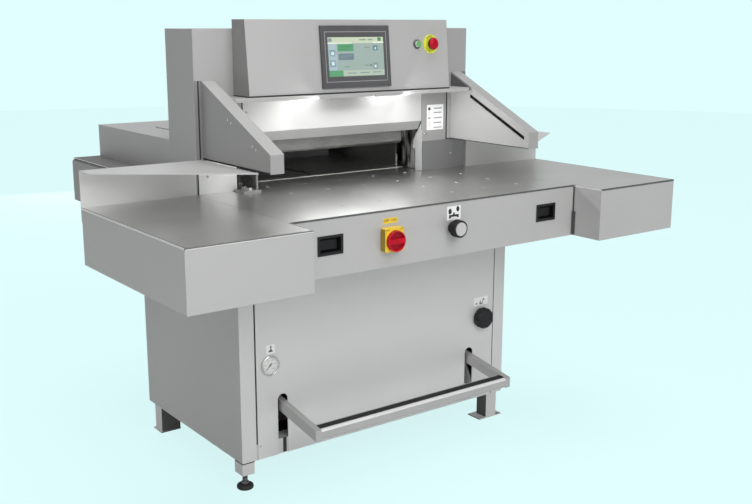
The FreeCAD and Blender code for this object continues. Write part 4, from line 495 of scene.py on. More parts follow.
def added(tree, one, other):
    """The sum of two factors, at most 1."""
    return wire(tree, "ShaderNodeMath", {0: one, 1: other}, operation="ADD", use_clamp=True).outputs[0]


def light_path(tree):
    """What kind of ray meets a surface, and a factor for rays from the camera, also through glass."""
    rays = wire(tree, "ShaderNodeLightPath").outputs
    return rays, added(tree, rays["Is Camera Ray"], rays["Is Transmission Ray"])


def shade(rgb, factor):
    return tuple(min(1.0, value * factor) for value in rgb[:3])


def surface(name, rgb, contrast=0.06, metallic=0.0, rough=(0.4, 0.5), patch=4.0, grain=600.0,
            stretch=(1, 1, 1), bump=0.15, bump_size=0.0002, **constants):
    """A finish with slow patches and fine grain in its colour, its roughness and its relief."""
    material = bpy.data.materials.new(name)
    material.use_nodes = True
    tree = material.node_tree
    shader = tree.nodes["Principled BSDF"]
    slow = field(tree, patch, 4.0)
    fine = field(tree, grain, 2.0, stretch)
    even = blend(tree, span(tree, slow, 0, 1), shade(rgb, 1 - contrast), shade(rgb, 1 + contrast))
    speckle = blend(tree, span(tree, fine, 0, 1), shade((1, 1, 1), 1 - contrast), (1, 1, 1))
    tree.links.new(blend(tree, 1.0, even, speckle, "MULTIPLY"), shader.inputs["Base Color"])
    half = (rough[1] - rough[0]) / 2
    parts = {0: span(tree, slow, rough[0], rough[0] + half), 1: span(tree, fine, 0, half)}
    total = wire(tree, "ShaderNodeMath", parts, operation="ADD").outputs[0]
    tree.links.new(total, shader.inputs["Roughness"])
    relief = wire(tree, "ShaderNodeBump", {"Height": fine, "Strength": bump, "Distance": bump_size})
    tree.links.new(relief.outputs[0], shader.inputs["Normal"])
    shader.inputs["Metallic"].default_value = metallic
    for key, value in constants.items():
        shader.inputs[key.replace("_", " ").title().replace("Ior", "IOR")].default_value = value
    return material


def glow(name, rgb, strength):
    """A lit surface with a faint grain under smooth glass."""
    material = surface(name, shade(rgb, 0.35), 0.02, rough=(0.25, 0.3), grain=900, bump=0.02)
    tree = material.node_tree
    shader = tree.nodes["Principled BSDF"]
    grain = span(tree, field(tree, 700.0, 1.0), 0, 1)
    tree.links.new(blend(tree, grain, shade(rgb, 0.96), rgb), shader.inputs["Emission Color"])
    shader.inputs["Emission Strength"].default_value = strength
    return material


def greasy_slide():
    """Bare slide steel with dark and bright runs of grease down its face."""
    material = surface(
        "greasy slide steel", (0.3, 0.3, 0.29), 0.2, 0.7, (0.25, 0.5), 30, 700, (1, 1, 0.2), 0.3, 0.0002)
    tree = material.node_tree
    runs = field(tree, 60.0, 5.0, (1, 1, 0.28), (0.25, 0, 0))
    spread = span(tree, runs, 0, 1, 0.38, 0.62)
    tree.links.new(blend(tree, spread, (0.015, 0.015, 0.015), (0.72, 0.72, 0.71)),
                   tree.nodes["Principled BSDF"].inputs["Base Color"])
    return material


# Contrast, metal, roughness, size of the patches and of the grain, strength and depth of the relief.
# The depth is in thousandths of a millimetre.
COAT = (0.025, 0.25, (0.42, 0.52), 2.2, 1500, 0.12, 100)
HIGHLIGHT_EDGE = (0.04, 0.2, (0.32, 0.42), 12, 1500, 0.08, 50)
DULL_EDGE = (0.08, 0.2, (0.45, 0.55), 12, 1500, 0.1, 100)
GLOSSY = (0.05, 0.0, (0.3, 0.38), 12, 1500, 0.08, 50)
PRINT = (0.05, 0.0, (0.4, 0.5), 20, 1500, 0.03, 50)
INK = (0.1, 0.0, (0.4, 0.5), 20, 1500, 0.03, 50)

# Key, name and colour of each finish, then the values above. A colour is red, green and blue, or one of the
# cutter's colours and how bright it is here.
SURFACES = (
    ("silver", "silver powder coat", ("silver", 1), *COAT),
    ("frame", "frame powder coat", ("silver", 1.35), 0.03, 0.25, (0.45, 0.55), 3.0, 1300, 0.14, 100),
    ("brushed", "brushed stainless", ("stainless", 1), 0.05, 1.0, (0.28, 0.38), 3.5, 220, 0.08, 50,
     {"stretch": (0.02, 6, 6)}),
    # A darker copy of the silver coat for the head's covers: painted shade.
    ("silver upper", "silver powder coat of the head", ("silver", 0.95), *COAT),
    # A darker copy of the silver coat: painted shade on the right cover, the arms and the guard's lip.
    ("silver shaded", "silver powder coat of the right cover", ("silver", 0.8), *COAT),
    ("silver dim", "silver powder coat in the shade", ("silver", 0.68), *COAT),
    # A lighter copy of the silver coat for the cabinet's front faces: painted light.
    ("silver front", "silver powder coat of the front", ("silver", 1.42), *COAT),
    # A lighter copy of the silver coat for the guard: painted light.
    ("guard coat", "silver powder coat of the guard", ("silver", 1.1), *COAT),
    # A lighter, satin copy of the silver coat for the side fences: painted light.
    ("fence coat", "satin coat of the fences", ("silver", 1.27), 0.03, 0.35, (0.34, 0.44), 3.0, 1300, 0.12,
     100),
    # Copies of the fence sheet: a lighter one as painted light on the inner fences, a darker one as painted
    # shade on the right.
    ("fence steel", "satin fence sheet", (0.88, 0.88, 0.87), 0.04, 0.45, (0.34, 0.46), 3.5, 260, 0.10, 60,
     {"stretch": (0.03, 6, 6)}),
    ("fence steel shaded", "darker fence sheet", (0.30, 0.30, 0.298), 0.06, 0.8, (0.40, 0.5), 3.5, 260,
     0.10, 60, {"stretch": (0.03, 6, 6)}),
    # A lighter copy of the jamb's coat on the flanges that face the throat: painted light.
    ("flange", "bright jamb flange", (0.52, 0.53, 0.525), 0.04, 0.1, (0.35, 0.45), 8, 900, 0.10, 100,
     {"stretch": (1, 1, 0.1)}),
    # A pale finish that paints the highlight along cut edges.
    ("edge steel", "bright cut edge", (0.84, 0.84, 0.83), *HIGHLIGHT_EDGE),
    ("edge shade", "shaded edge steel", (0.115, 0.115, 0.115), *DULL_EDGE),
    ("nozzle face", "satin nozzle face", (0.52, 0.52, 0.515), 0.05, 0.2, (0.35, 0.45), 40, 1500, 0.08, 50),
    ("guide iron", "dull guide steel", (0.36, 0.36, 0.36), 0.15, 0.8, (0.36, 0.5), 30, 900, 0.2, 100),
    # A near-black strip that paints the shade in gaps and under overhangs.
    ("seam", "dark sealing strip", (0.022, 0.022, 0.023), 0.15, 0.0, (0.6, 0.7), 20, 1500, 0.2, 100),
    # A grey strip whose tone paints shade on the column fronts beside the arms and over gaps.
    ("filler", "grey filler strip", (0.27, 0.27, 0.268), 0.06, 0.1, (0.5, 0.6), 8, 1300, 0.15, 100),
    # A dark grey sheet that paints the shade in the hollow rear trays and on the right arm's inner wall.
    ("mat", "grey anti-slip mat", (0.15, 0.15, 0.15), 0.1, 0.0, (0.6, 0.7), 10, 900, 0.5, 200),
    ("pedal steel", "satin pedal steel", (0.50, 0.50, 0.495), 0.05, 0.35, (0.32, 0.44), 9, 240, 0.12, 80,
     {"stretch": (0.02, 6, 6)}),
    # A pale finish that paints the highlight on the pedal bar's top front edge.
    ("pedal edge", "bright pedal edge", (0.84, 0.84, 0.83), *HIGHLIGHT_EDGE),
    ("pedal cap", "dull end cap", (0.22, 0.22, 0.22), *DULL_EDGE),
    ("shaded frame", "frame paint in the shade", (0.085, 0.085, 0.085), 0.04, 0.1, (0.5, 0.6), 3.0, 1300,
     0.14, 100),
    ("turned steel", "turned steel", (0.62, 0.62, 0.61), 0.05, 1.0, (0.2, 0.32), 40, 1500, 0.08, 50),
    ("oiled steel", "ground steel under oil", (0.36, 0.355, 0.34), 0.2, 0.85, (0.3, 0.5), 5, 300, 0.15, 100,
     {"stretch": (0.1, 1, 1)}),
    ("blade", "ground tool steel", (0.42, 0.42, 0.42), 0.1, 1.0, (0.15, 0.3), 9, 900, 0.1, 50,
     {"stretch": (1, 1, 0.05)}),
    ("anodised", "dull anodised plate", (0.2, 0.2, 0.2), 0.08, 0.8, (0.38, 0.5), 8, 900, 0.08, 100),
    ("zinc", "bright zinc plate", (0.6, 0.6, 0.59), 0.08, 1.0, (0.2, 0.3), 60, 2500, 0.08, 50),
    ("dull zinc", "dull zinc plate", (0.22, 0.22, 0.22), 0.1, 0.8, (0.4, 0.5), 60, 2500, 0.08, 50),
    ("satin ring", "satin gauge ring", (0.62, 0.62, 0.6), 0.05, 1.0, (0.22, 0.3), 60, 1800, 0.06, 50),
    ("bed iron", "machined grey iron", (0.17, 0.17, 0.168), 0.15, 0.7, (0.38, 0.55), 12, 500, 0.25, 200),
    ("dark iron", "dark painted iron", (0.045, 0.046, 0.048), 0.2, 0.2, (0.45, 0.6), 10, 350, 0.4, 400),
    ("motor", "dark machine paint", (0.075, 0.083, 0.09), 0.1, 0.0, (0.35, 0.45), 10, 500, 0.3, 300),
    ("bezel", "dark grey bezel", (0.088, 0.088, 0.092), 0.08, 0.0, (0.38, 0.46), 12, 2200, 0.25, 80),
    ("bezel line", "light bezel line", (0.38, 0.37, 0.38), 0.05, 0.0, (0.35, 0.45), 20, 1500, 0.1, 50),
    ("black", "fine matte black", (0.014, 0.014, 0.015), 0.15, 0.0, (0.42, 0.55), 15, 1800, 0.3, 100,
     {"specular_ior_level": 0.3}),
    ("black gloss", "smooth black", (0.009, 0.009, 0.01), 0.1, 0.0, (0.3, 0.4), 20, 1500, 0.05, 50,
     {"specular_ior_level": 0.3}),
    ("rubber", "ribbed black rubber", (0.02, 0.02, 0.021), 0.2, 0.0, (0.6, 0.75), 25, 1200, 0.4, 200),
    ("yellow", "signal yellow", ("signal_yellow", 1), *GLOSSY),
    ("collar yellow", "collar yellow green", (0.78, 0.83, 0.07), 0.06, 0.0, (0.3, 0.4), 14, 1500, 0.08, 50),
    ("pale red", "pale red print", (0.86, 0.70, 0.66), *PRINT),
    ("dun", "dun print", (0.42, 0.36, 0.30), *PRINT),
    # A near-black red that paints the shade on the sides of the stop button's mushroom.
    ("dark red", "dark red underside", (0.05, 0.012, 0.006), 0.08, 0.0, (0.3, 0.4), 16, 1500, 0.08, 50),
    ("deep red", "shaded red", (0.34, 0.0, 0.012), 0.12, 0.0, (0.35, 0.45), 24, 1500, 0.08, 50,
     {"specular_ior_level": 0.25}),
    ("stop red", "crimson push face", (0.52, 0.0, 0.022), 0.12, 0.0, (0.3, 0.38), 24, 1500, 0.08, 50,
     {"specular_ior_level": 0.2}),
    ("olive print", "olive print", (0.3, 0.27, 0.01), *INK),
    # A pale green that paints the highlight on the start lens's rim.
    ("pale rim", "pale lens rim", (0.72, 0.80, 0.72), 0.05, 0.0, (0.2, 0.3), 20, 1500, 0.05, 50),
    ("red", "signal red", ("signal_red", 1), 0.25, 0.0, (0.25, 0.34), 16, 1500, 0.08, 50,
     {"specular_ior_level": 0.25}),
    ("shaded yellow", "shaded side yellow", (0.33, 0.23, 0.012), *GLOSSY),
    ("green", "green lens", ("lens_green", 1), 0.08, 0.0, (0.15, 0.22), 30, 900, 0.1, 100),
    ("stick", "pale cutting plastic", (0.86, 0.85, 0.80), 0.05, 0.0, (0.4, 0.5), 12, 900, 0.1, 100),
    ("label", "white label film", (0.93, 0.93, 0.93), 0.02, 0.0, (0.35, 0.42), 20, 1500, 0.05, 50),
    ("dial", "white dial", (0.86, 0.86, 0.85), 0.02, 0.0, (0.45, 0.5), 20, 1500, 0.03, 50),
    ("cap grey", "light grey cap", (0.56, 0.56, 0.56), 0.03, 0.0, (0.3, 0.4), 20, 1500, 0.06, 50),
    ("print", "black print", (0.02, 0.02, 0.022), *INK),
    ("grey print", "grey print", (0.32, 0.32, 0.33), *PRINT),
    ("clear glass", "clear flat glass", (0.95, 0.95, 0.95), 0.0, 0.0, (0.04, 0.08), 20, 900, 0.02, 200,
     {"alpha": 0.1}),
)

# Key, colour and strength of each part of the lit picture
PICTURE = (
    ("screen main", (0.29, 0.37, 0.34), 0.9), ("screen bar", (0.50, 0.56, 0.42), 0.9),
    ("screen side", (0.35, 0.44, 0.48), 0.9), ("screen teal", (0.11, 0.21, 0.24), 0.9),
    ("screen green", (0.095, 0.31, 0.15), 0.85), ("screen slate", (0.14, 0.19, 0.23), 0.9),
    ("screen pale", (0.50, 0.66, 0.66), 0.95), ("screen ink", (0.13, 0.18, 0.17), 0.8),
    ("screen fern", (0.075, 0.22, 0.11), 0.85), ("screen dust", (0.21, 0.28, 0.27), 0.85),
    ("screen light", (0.66, 0.74, 0.62), 0.95), ("screen foot", (0.38, 0.46, 0.38), 0.9),
    ("screen frame", (0.10, 0.13, 0.12), 0.6),
)

FINISHES = {}


def mix_finishes(colours):
    """Make every finish of the machine once."""
    for key, name, tone, contrast, metallic, rough, patch, grain, bump, depth, *more in SURFACES:
        if isinstance(tone[0], str):
            tone = shade(getattr(colours, tone[0]), tone[1])
        FINISHES[key] = surface(name, tone, contrast, metallic, rough, patch, grain, bump=bump,
                                bump_size=depth / MICRO, **(more[0] if more else {}))
    FINISHES["greasy slide"] = greasy_slide()
    FINISHES["lens"] = glow("milky lamp lens", (1.0, 1.0, 0.97), 6.0)
    for key, rgb, strength in PICTURE:
        FINISHES[key] = glow(key, rgb, strength)


# Operators, one for each group of pieces

class CutterStep(bpy.types.Operator):
    """Shared base of the cutter's operators"""
    bl_idname = "cutter.step"
    bl_label = "Cutter step"
    bl_options = {"REGISTER", "UNDO"}

    def execute(self, context):
        deselect()
        self.make(context.scene.cutter_sizes, context.scene.cutter_colours)
        deselect()
        return {"FINISHED"}


class CUTTER_OT_finishes(CutterStep):
    """Mix the finishes and put them on every part of the fixed frame"""
    bl_idname = "cutter.finishes"
    bl_label = "Mix finishes"

    BY_SLOT = {
        "silver_paint": "silver", "frame_paint": "frame", "motor_paint": "motor", "table_steel": "brushed",
        "fence_steel": "brushed", "pedal_steel": "pedal steel", "nozzle_steel": "turned steel",
        "machined_steel": "oiled steel", "blade_steel": "blade", "gauge_metal": "anodised",
        "bright_steel": "zinc", "gauge_case": "satin ring", "bed_iron": "bed iron",
        "frame_iron": "dark iron", "bezel_plastic": "bezel", "black_plastic": "black",
        "black_cap": "black gloss", "yellow_plastic": "yellow", "red_plastic": "red",
        "green_plastic": "green", "lamp_lens": "lens", "stick_plastic": "stick", "black_rubber": "rubber",
    "screen_glass": "screen main", "clear_glass": "clear glass", }

    def make(self, sizes, colours):
        mix_finishes(colours)
        for node, thing in frame["nodes"].items():
            thing.data.materials.clear()
            thing.data.materials.append(FINISHES[self.BY_SLOT[SLOT_OF[node]]])


class CUTTER_OT_covers(CutterStep):
    """Round the edges of the painted covers, tables and fences"""
    bl_idname = "cutter.covers"
    bl_label = "Covers and tables"

    # Finish, size of the rounded edge and share of it, and the nodes
    # The coats of the front panel, the guard and the fences are lighter copies that paint light;
    # those of the rear tray and the head's covers are darker copies that paint shade.
    COATS = (
        ("silver", "sheet_round", 1,
         ("cabinet_sides", "rear_panel", "wing_skirts", "apron", "rear_cover", "rear_lid")),
        ("silver front", "sheet_round", 1, ("front_panel",)),
        ("guard coat", "sheet_round", 1, ("guard_panel",)),
        ("silver dim", "sheet_round", 1, ("rear_tray",)),
        ("silver upper", "sheet_round", 1,
         ("yoke_covers", "jamb_panels", "sill", "console_housing", "arm_covers")),
        ("fence coat", "sheet_round", 0, ("side_fences",)),
        ("frame", "sheet_round", 1, ("pedal_brackets", "base_frame")),
        ("brushed", "steel_round", 1, ("rear_table",)),
        ("brushed", "steel_round", 0.5, ("centre_table_top", "wing_tops")),
        ("fence steel", "steel_round", 1, ("inner_fences",)),
        ("guide iron", "steel_round", 1, ("side_guide",)),
    )
    # Node, finish and the faces that get it, by their middle in millimetres and their normal
    # Every patch paints light or shade with a lighter or darker copy of a finish.
    PATCHES = (
        ("yoke_covers", "silver shaded", lambda place, way: place.x > -20),
        ("jamb_panels", "flange", lambda place, way: abs(way.x) > 0.9),
        ("cabinet_sides", "silver front", lambda place, way: way.y < -0.9),
        ("arm_covers", "silver shaded", lambda place, way: way.y < -0.9),
        ("arm_covers", "silver shaded", lambda place, way: (
            way.x < -0.9 and place.x < -400 or way.z > 0.3 and place.x > 400)),
        ("console_housing", "silver dim", lambda place, way: way.x < -0.9),
        ("jamb_panels", "silver dim", lambda place, way: way.y < -0.9),
        ("guard_panel", "silver shaded", lambda place, way: way.z < -0.2),
        ("base_frame", "shaded frame", lambda place, way: (
            place.z < 90 and (way.x < -0.7 and place.x > 0 or way.y < -0.7 and place.y > 0))),
        ("inner_fences", "fence steel shaded", lambda place, way: place.x > 0),
    )

    def make(self, sizes, colours):
        covers = {node: eased(node, getattr(sizes, size) * share, tone)
                  for tone, size, share, nodes in self.COATS for node in nodes}
        for node, tone, test in self.PATCHES:
            repaint(covers[node], tone, test)
        # The table tops' cut edges get a painted highlight on their sides and painted shade on their fronts.
        for node in ("centre_table_top", "wing_tops"):
            repaint(covers[node], "edge steel", lambda place, way: (
                abs(way.z) < 0.3 and (abs(place.x) > 539 or place.y < -589)))
            repaint(covers[node], "edge shade", lambda place, way: way.y < -0.3 and place.y < -589)


class CUTTER_OT_painted_shade(CutterStep):
    """Painted shade in gaps, corners and hollows, painted highlights on cut edges, the slide faces and the
    bottom pan
    """
    bl_idname = "cutter.seams"
    bl_label = "Seams, edges and linings"

    OUTLINE = ((-900, -60.5), (-900, WING_FRONT), (-540.5, WING_FRONT), (-540.5, APRON),
               (540.5, APRON), (540.5, WING_FRONT), (900, WING_FRONT), (900, -60.5))

    def strips(self, name, tone, slot, corners):
        """Blocks between pairs of corners, as one piece."""
        hand_over(joined([block(low, high) for low, high in corners]), name, slot, tone)

    def across(self, side, inner, outer, near, far, low, high):
        """A strip on one side, between two distances from the middle."""
        ends = sorted((side * inner, side * outer))
        return (ends[0], near, low), (ends[1], far, high)

    def along(self, start, stop, near, far, low, high):
        """A strip between two corners of the table's outline, from near to far inside it."""
        (x, y), (next_x, next_y) = start, stop
        if x == next_x:
            inward = 1 if (x < -600 or 0 < x < 600) else -1
            sides = sorted((x + inward * near, x + inward * far))
            return (sides[0], min(y, next_y) + near, low), (sides[1], max(y, next_y), high)
        return (min(x, next_x) + near, y + near, low), (max(x, next_x) - near, y + far, high)

    def make(self, sizes, colours):
        # Near-black strips that paint the shade in gaps: under the console, along the jambs and fences,
        # under the arms,
        # at the arms' joints with the columns, in the door gaps, at the base and in the pedal slot.
        dark = [
            ((-403, -155.2, 1177), (376, -152.5, 1181.5)),
            ((-403.6, -154.4, 1177), (-402.8, -58, 1180)),
            ((-484.2, -283.9, 91.5), (-478.8, -282.5, 841)),
            ((-535.3, -286.9, 88.4), (-492.5, -240, 91.3)),
            ((-389, -285.2, 94), (-377, -284.2, 141)),
        ]
        # Grey strips whose tone paints shade, and painted shade in the corners between the apron and the
        # wings.
        grey = [((334.2, JAMB + 0.2, 1031), (337.8, JAMB + 1, 1164))]
        shades = []
        for side, jamb in ((-1, 489.8), (1, 447.3)):
            for group, *strip in (
                (dark, jamb, jamb + 3.8, JAMB - 0.6, JAMB + 0.2, 990, 1164.8),
                (dark, 512, 512.6, -449.2, JAMB - 0.5, 991.4, 996.5),
                (dark, 467.4, 468, -449.2, JAMB - 0.5, 992, 994.4),
                (dark, 519.6, 524.4, JAMB - 0.8, JAMB + 0.1, 992, 1226),
                (grey, 524.4, 534.6, JAMB - 0.6, JAMB + 0.1, 992, 1226),
                (grey, 512.2, 519.6, JAMB - 0.6, JAMB + 0.1, 992, 1226),
                (shades, 536.8, 540, -590.2, -589.4, 722, 880),
                (shades, 533.5, 537, -590.1, -589.4, 722, 800),
                (shades, 539.5, 540.1, -594, -589.4, 722, 880),
                (shades, 539.5, 540.1, -601, -594, 722, 800),
            ):
                group.append(self.across(side, *strip))
        dark += [
            ((-535.2, -60.4, 885.2), (-531.8, -59.3, 988)),
            ((-376.8, JAMB - 0.6, 1100), (-373, JAMB + 0.2, 1164)),
            ((447.3, JAMB - 0.6, 989.5), (467.6, JAMB + 0.2, 993)),
            ((482.4, -286.9, 92), (485.2, -286.3, 841)),
        ]
        grey += [
            ((340, JAMB - 0.5, 987.5), (447, JAMB + 0.2, 990.5)),
            ((530.5, -60.6, 885.2), (541, -56.6, 988)),
        ]
        self.strips("dark_seams", "seam", "black_rubber", dark)
        self.strips("grey_fillers", "filler", "silver_paint", grey)
        self.strips("corner_shades", "edge shade", "silver_paint", shades)
        # Along the table's outline: painted shade on top and in the gap at the front edges; painted
        # highlights
        # on top and in the gap at the side edges and the left wing's front, with a painted shade line just
        # inside.
        bright, lines = [], []
        for start, stop in zip(self.OUTLINE, self.OUTLINE[1:]):
            if start[1] == stop[1] and start[0] > -600:
                lines.append(self.along(start, stop, 0.1, 4, 885.0, 885.1))
                lines.append(self.along(start, stop, 0.1, 2.3, 880.05, 881.95))
            else:
                bright.append(self.along(start, stop, 0.1, 1.2, 885.0, 885.14))
                bright.append(self.along(start, stop, 0.1, 2.3, 880.05, 881.95))
                lines.append(self.along(start, stop, 1.3, 5, 885.0, 885.1))
        self.strips("table_edges", "edge steel", "table_steel", bright)
        self.strips("table_edge_lines", "edge shade", "table_steel", lines)
        self.strips("slide_faces", "greasy slide", "machined_steel", [
            ((344.2, -44, 887), (345, 64, 1036)), ((-387, -44, 887), (-386.2, 62, 1036))])
        # A painted highlight on the slide's edge.
        self.strips("slide_edge", "edge steel", "machined_steel", [((344, 93.5, 887), (345, 101, 930))])
        # Dark strips on the clamp just under the guard's lip: painted shade.
        for name, tone, corners in (
            ("clamp_line_left", "seam", ((-348, 20, 1024.3), (2, 20.6, 1031.4))),
            ("clamp_line_right", "edge shade", ((2, 20, 1025.2), (306, 20.6, 1030.5))),
        ):
            hand_over(block(*corners), name, "machined_steel", tone, body="clamp")
        # A dark sheet on the right arm's inner wall above the sill: painted shade.
        lining = block((467.2, -157, 1170), (467.9, -45, 1227))
        edit(lining, "EDGE")
        mark_edges(lining, lambda start, stop: max(start.y, stop.y) < -0.15 and min(start.z, stop.z) > 1.2)
        bpy.ops.transform.translate(value=mm(0, 0, -52))
        leave()
        hand_over(lining, "arm_lining", "black_rubber", "mat")
        self.strips("bottom_pan", "dark iron", "frame_iron", [((-480, -282, 92), (480, 372, 94))])
        # Dark sheets on the rear trays' tops paint the shade in the hollow trays; pale strips on their outer
        # edges paint a highlight.
        self.strips("tray_mats", "mat", "black_rubber", [
            ((-635.5, 128, 925.9), (-536, 703, 926.25)), ((536, 128, 925.9), (635.5, 703, 926.25))])
        self.strips("tray_edges", "edge steel", "silver_paint", [
            ((-638.6, 128, 925.9), (-635.5, 703, 926.3)), ((635.5, 128, 925.9), (638.6, 703, 926.3))])


class CUTTER_OT_mechanism(CutterStep):
    """Round the edges of the knife, clamp, back gauge and drive parts"""
    bl_idname = "cutter.mechanism"
    bl_label = "Knife, clamp and gauge"

    def make(self, sizes, colours):
        for node, name in (
            ("knife_carrier", "oiled steel"), ("clamp_beam", "oiled steel"), ("cylinders", "oiled steel"),
            ("back_gauge", "anodised"), ("head_beam", "dark iron"), ("side_frames", "dark iron"),
            ("table_bed", "bed iron"), ("gauge_motor", "motor"), ("oil_tank", "motor"), ("pump_motor",
                                                                                         "motor"),
            ("air_blower", "motor"), ("cable_gland", "black"),
        ):
            eased(node, sizes.steel_round, name)


class CUTTER_OT_screws(CutterStep):
    """Socket screws and guide bolts on the covers"""
    bl_idname = "cutter.screws"
    bl_label = "Screws"

    def make(self, sizes, colours):
        button = turned([(0, 4), (0.5, 4), (1.3, 3.75), (2.0, 3.1), (2.35, 2.6), (2.5, 2.2), (2.5, 1.8)], 32)
        bored(button, hexagon(1.35, 0.9, 4))
        cap = turned([(0, 9), (6.8, 9), (7.6, 8.6), (8, 7.8), (8, 5)], 48)
        ribs(cap, lambda place, way: abs(way.z) < 0.2 and place.z < 0.0068, -0.0003)
        bored(cap, hexagon(4.2, 3.5, 9))
        heads = []
        for low, high in islands("cover_screws"):
            extent = high - low
            middle = (low + high) / 2
            thin = min(range(3), key=lambda axis: extent[axis])
            if extent.x > 12:
                heads.append(put(copied(cap), (middle.x, middle.y, low.z)))
                continue
            head = copied(button)
            head.scale = (max(extent) / 8, max(extent) / 8, extent[thin] / 2.5)
            if thin == 0:
                side = 1 if middle.x > 0 else -1
                base = low.x if side > 0 else high.x
                heads.append(put(head, (base, middle.y, middle.z), (0, side * math.pi / 2, 0)))
            else:
                heads.append(put(head, (middle.x, high.y, middle.z), FRONTWARD))
        bpy.data.objects.remove(button)
        bpy.data.objects.remove(cap)
        hand_over(joined(heads), "screw_heads", "bright_steel", "zinc", ("cover_screws",))


class CUTTER_OT_nozzles(CutterStep):
    """Air nozzles with their balls in the table"""
    bl_idname = "cutter.nozzles"
    bl_label = "Air nozzles"

    def make(self, sizes, colours):
        ring = turned([(0, 5), (3.0, 5), (3.0, 6.2), (3.15, 6.4), (3.4, 6.2), (3.5, 5.4), (3.5, 3.9),
                       (2.8, 3.2), (1.0, 3.1)], 28)
        ball = turned([(0.9, 1.2), (1.4, 2.5), (2.1, 2.95), (2.9, 2.6), (3.5, 1.6), (3.7, 0.6)], 20)
        rings, balls = [], []
        for low, high in islands("air_nozzles"):
            middle = (low + high) / 2
            rings.append(put(copied(ring), (middle.x, middle.y, low.z)))
            balls.append(put(copied(ball), (middle.x, middle.y, low.z)))
        bpy.data.objects.remove(ring)
        bpy.data.objects.remove(ball)
        hand_over(joined(rings), "nozzle_rings", "nozzle_steel", "nozzle face", ("air_nozzles",))
        hand_over(joined(balls), "nozzle_balls", "bright_steel", "nozzle face")


class CUTTER_OT_screen(CutterStep):
    """Touch screen with its bezel, its light line and a plain picture"""
    bl_idname = "cutter.screen"
    bl_label = "Touch screen"

    WIDE, HIGH = 218, 124
    TILES = (
        ("screen bar", 0.0, 0.0, 1.0, 0.165), ("screen side", 0.0, 0.165, 0.15, 0.83),
        ("screen teal", 0.025, 0.33, 0.135, 0.49), ("screen teal", 0.025, 0.575, 0.135, 0.75),
        ("screen green", 0.17, 0.185, 0.45, 0.365), ("screen slate", 0.18, 0.42, 0.45, 0.58),
        ("screen green", 0.0, 0.84, 0.25, 1.0), ("screen foot", 0.25, 0.84, 1.0, 1.0),
    )
    MARKS = (
        ("screen pale", 0.055, 0.37, 0.105, 0.45), ("screen pale", 0.055, 0.62, 0.105, 0.71),
        ("screen fern", 0.20, 0.235, 0.42, 0.26), ("screen fern", 0.20, 0.30, 0.36, 0.325),
        ("screen dust", 0.21, 0.47, 0.42, 0.49), ("screen dust", 0.21, 0.52, 0.34, 0.535),
        ("screen dust", 0.56, 0.065, 0.68, 0.095), ("screen dust", 0.71, 0.065, 0.80, 0.095),
        ("screen light", 0.0, 0.15, 0.42, 0.172), ("screen light", 0.80, 0.13, 1.0, 0.165),
        ("screen dust", 0.64, 0.26, 0.74, 0.29), ("screen dust", 0.64, 0.71, 0.72, 0.74),
        ("screen ink", 0.735, 0.70, 0.765, 0.75), ("screen dust", 0.28, 0.735, 0.36, 0.765),
        ("screen dust", 0.32, 0.90, 0.48, 0.925), ("screen dust", 0.55, 0.895, 0.72, 0.92),
        ("screen dust", 0.78, 0.89, 0.93, 0.915), ("screen teal", 0.80, 0.225, 0.885, 0.355),
        ("screen dust", 0.79, 0.665, 0.875, 0.82), ("screen dust", 0.015, 0.035, 0.075, 0.125),
        ("screen fern", 0.89, 0.025, 0.95, 0.115),
    )
    DOTS = (
        ("screen pale", 0.830, 0.27, 0.858, 0.325), ("screen pale", 0.812, 0.72, 0.850, 0.785),
    )

    def tile(self, left, top, right, bottom, low):
        x, y = (left - 0.5) * self.WIDE, (0.5 - bottom) * self.HIGH
        wide, high = (right - left) * self.WIDE, (bottom - top) * self.HIGH
        return plate(wide, high, 0.1, min(wide, high) * 0.12, low, (x + wide / 2, y + high / 2), 3)

    def make(self, sizes, colours):
        centre = (-10, 1290)
        eased("screen_bezel", 1.6 / 1000, "bezel", 3)
        face = proud("screen_bezel", *centre)
        glass = proud("screen_glass", *centre)
        line = frame_plate(239, 156, 2.0, 0.2, face - 0.1)
        mount(line, on_console(*centre), CONSOLEWARD, "bezel_line", "bezel_plastic", "bezel line")
        edge = frame_plate(217.9, 123.9, 1.6, 0.14, glass - 0.04)
        mount(edge, on_console(*centre), CONSOLEWARD, "screen_edge", "screen_glass", "screen frame")
        pane = plate(218, 124, 1.9, 0, glass - 2)
        mount(pane, on_console(*centre), CONSOLEWARD, "screen_pane", "screen_glass", "screen main",
              ("screen_glass",))
        groups = {}
        for level, tiles in ((0.0, self.TILES), (0.1, self.MARKS), (0.2, self.DOTS)):
            for name, *corners in tiles:
                groups.setdefault((level, name), []).append(self.tile(*corners, glass - 0.1 + level))
        for (level, name), tiles in groups.items():
            mount(joined(tiles), on_console(*centre), CONSOLEWARD,
                  f"{name.replace(' ', '_')}_{round(level * 10)}", "screen_glass", name)


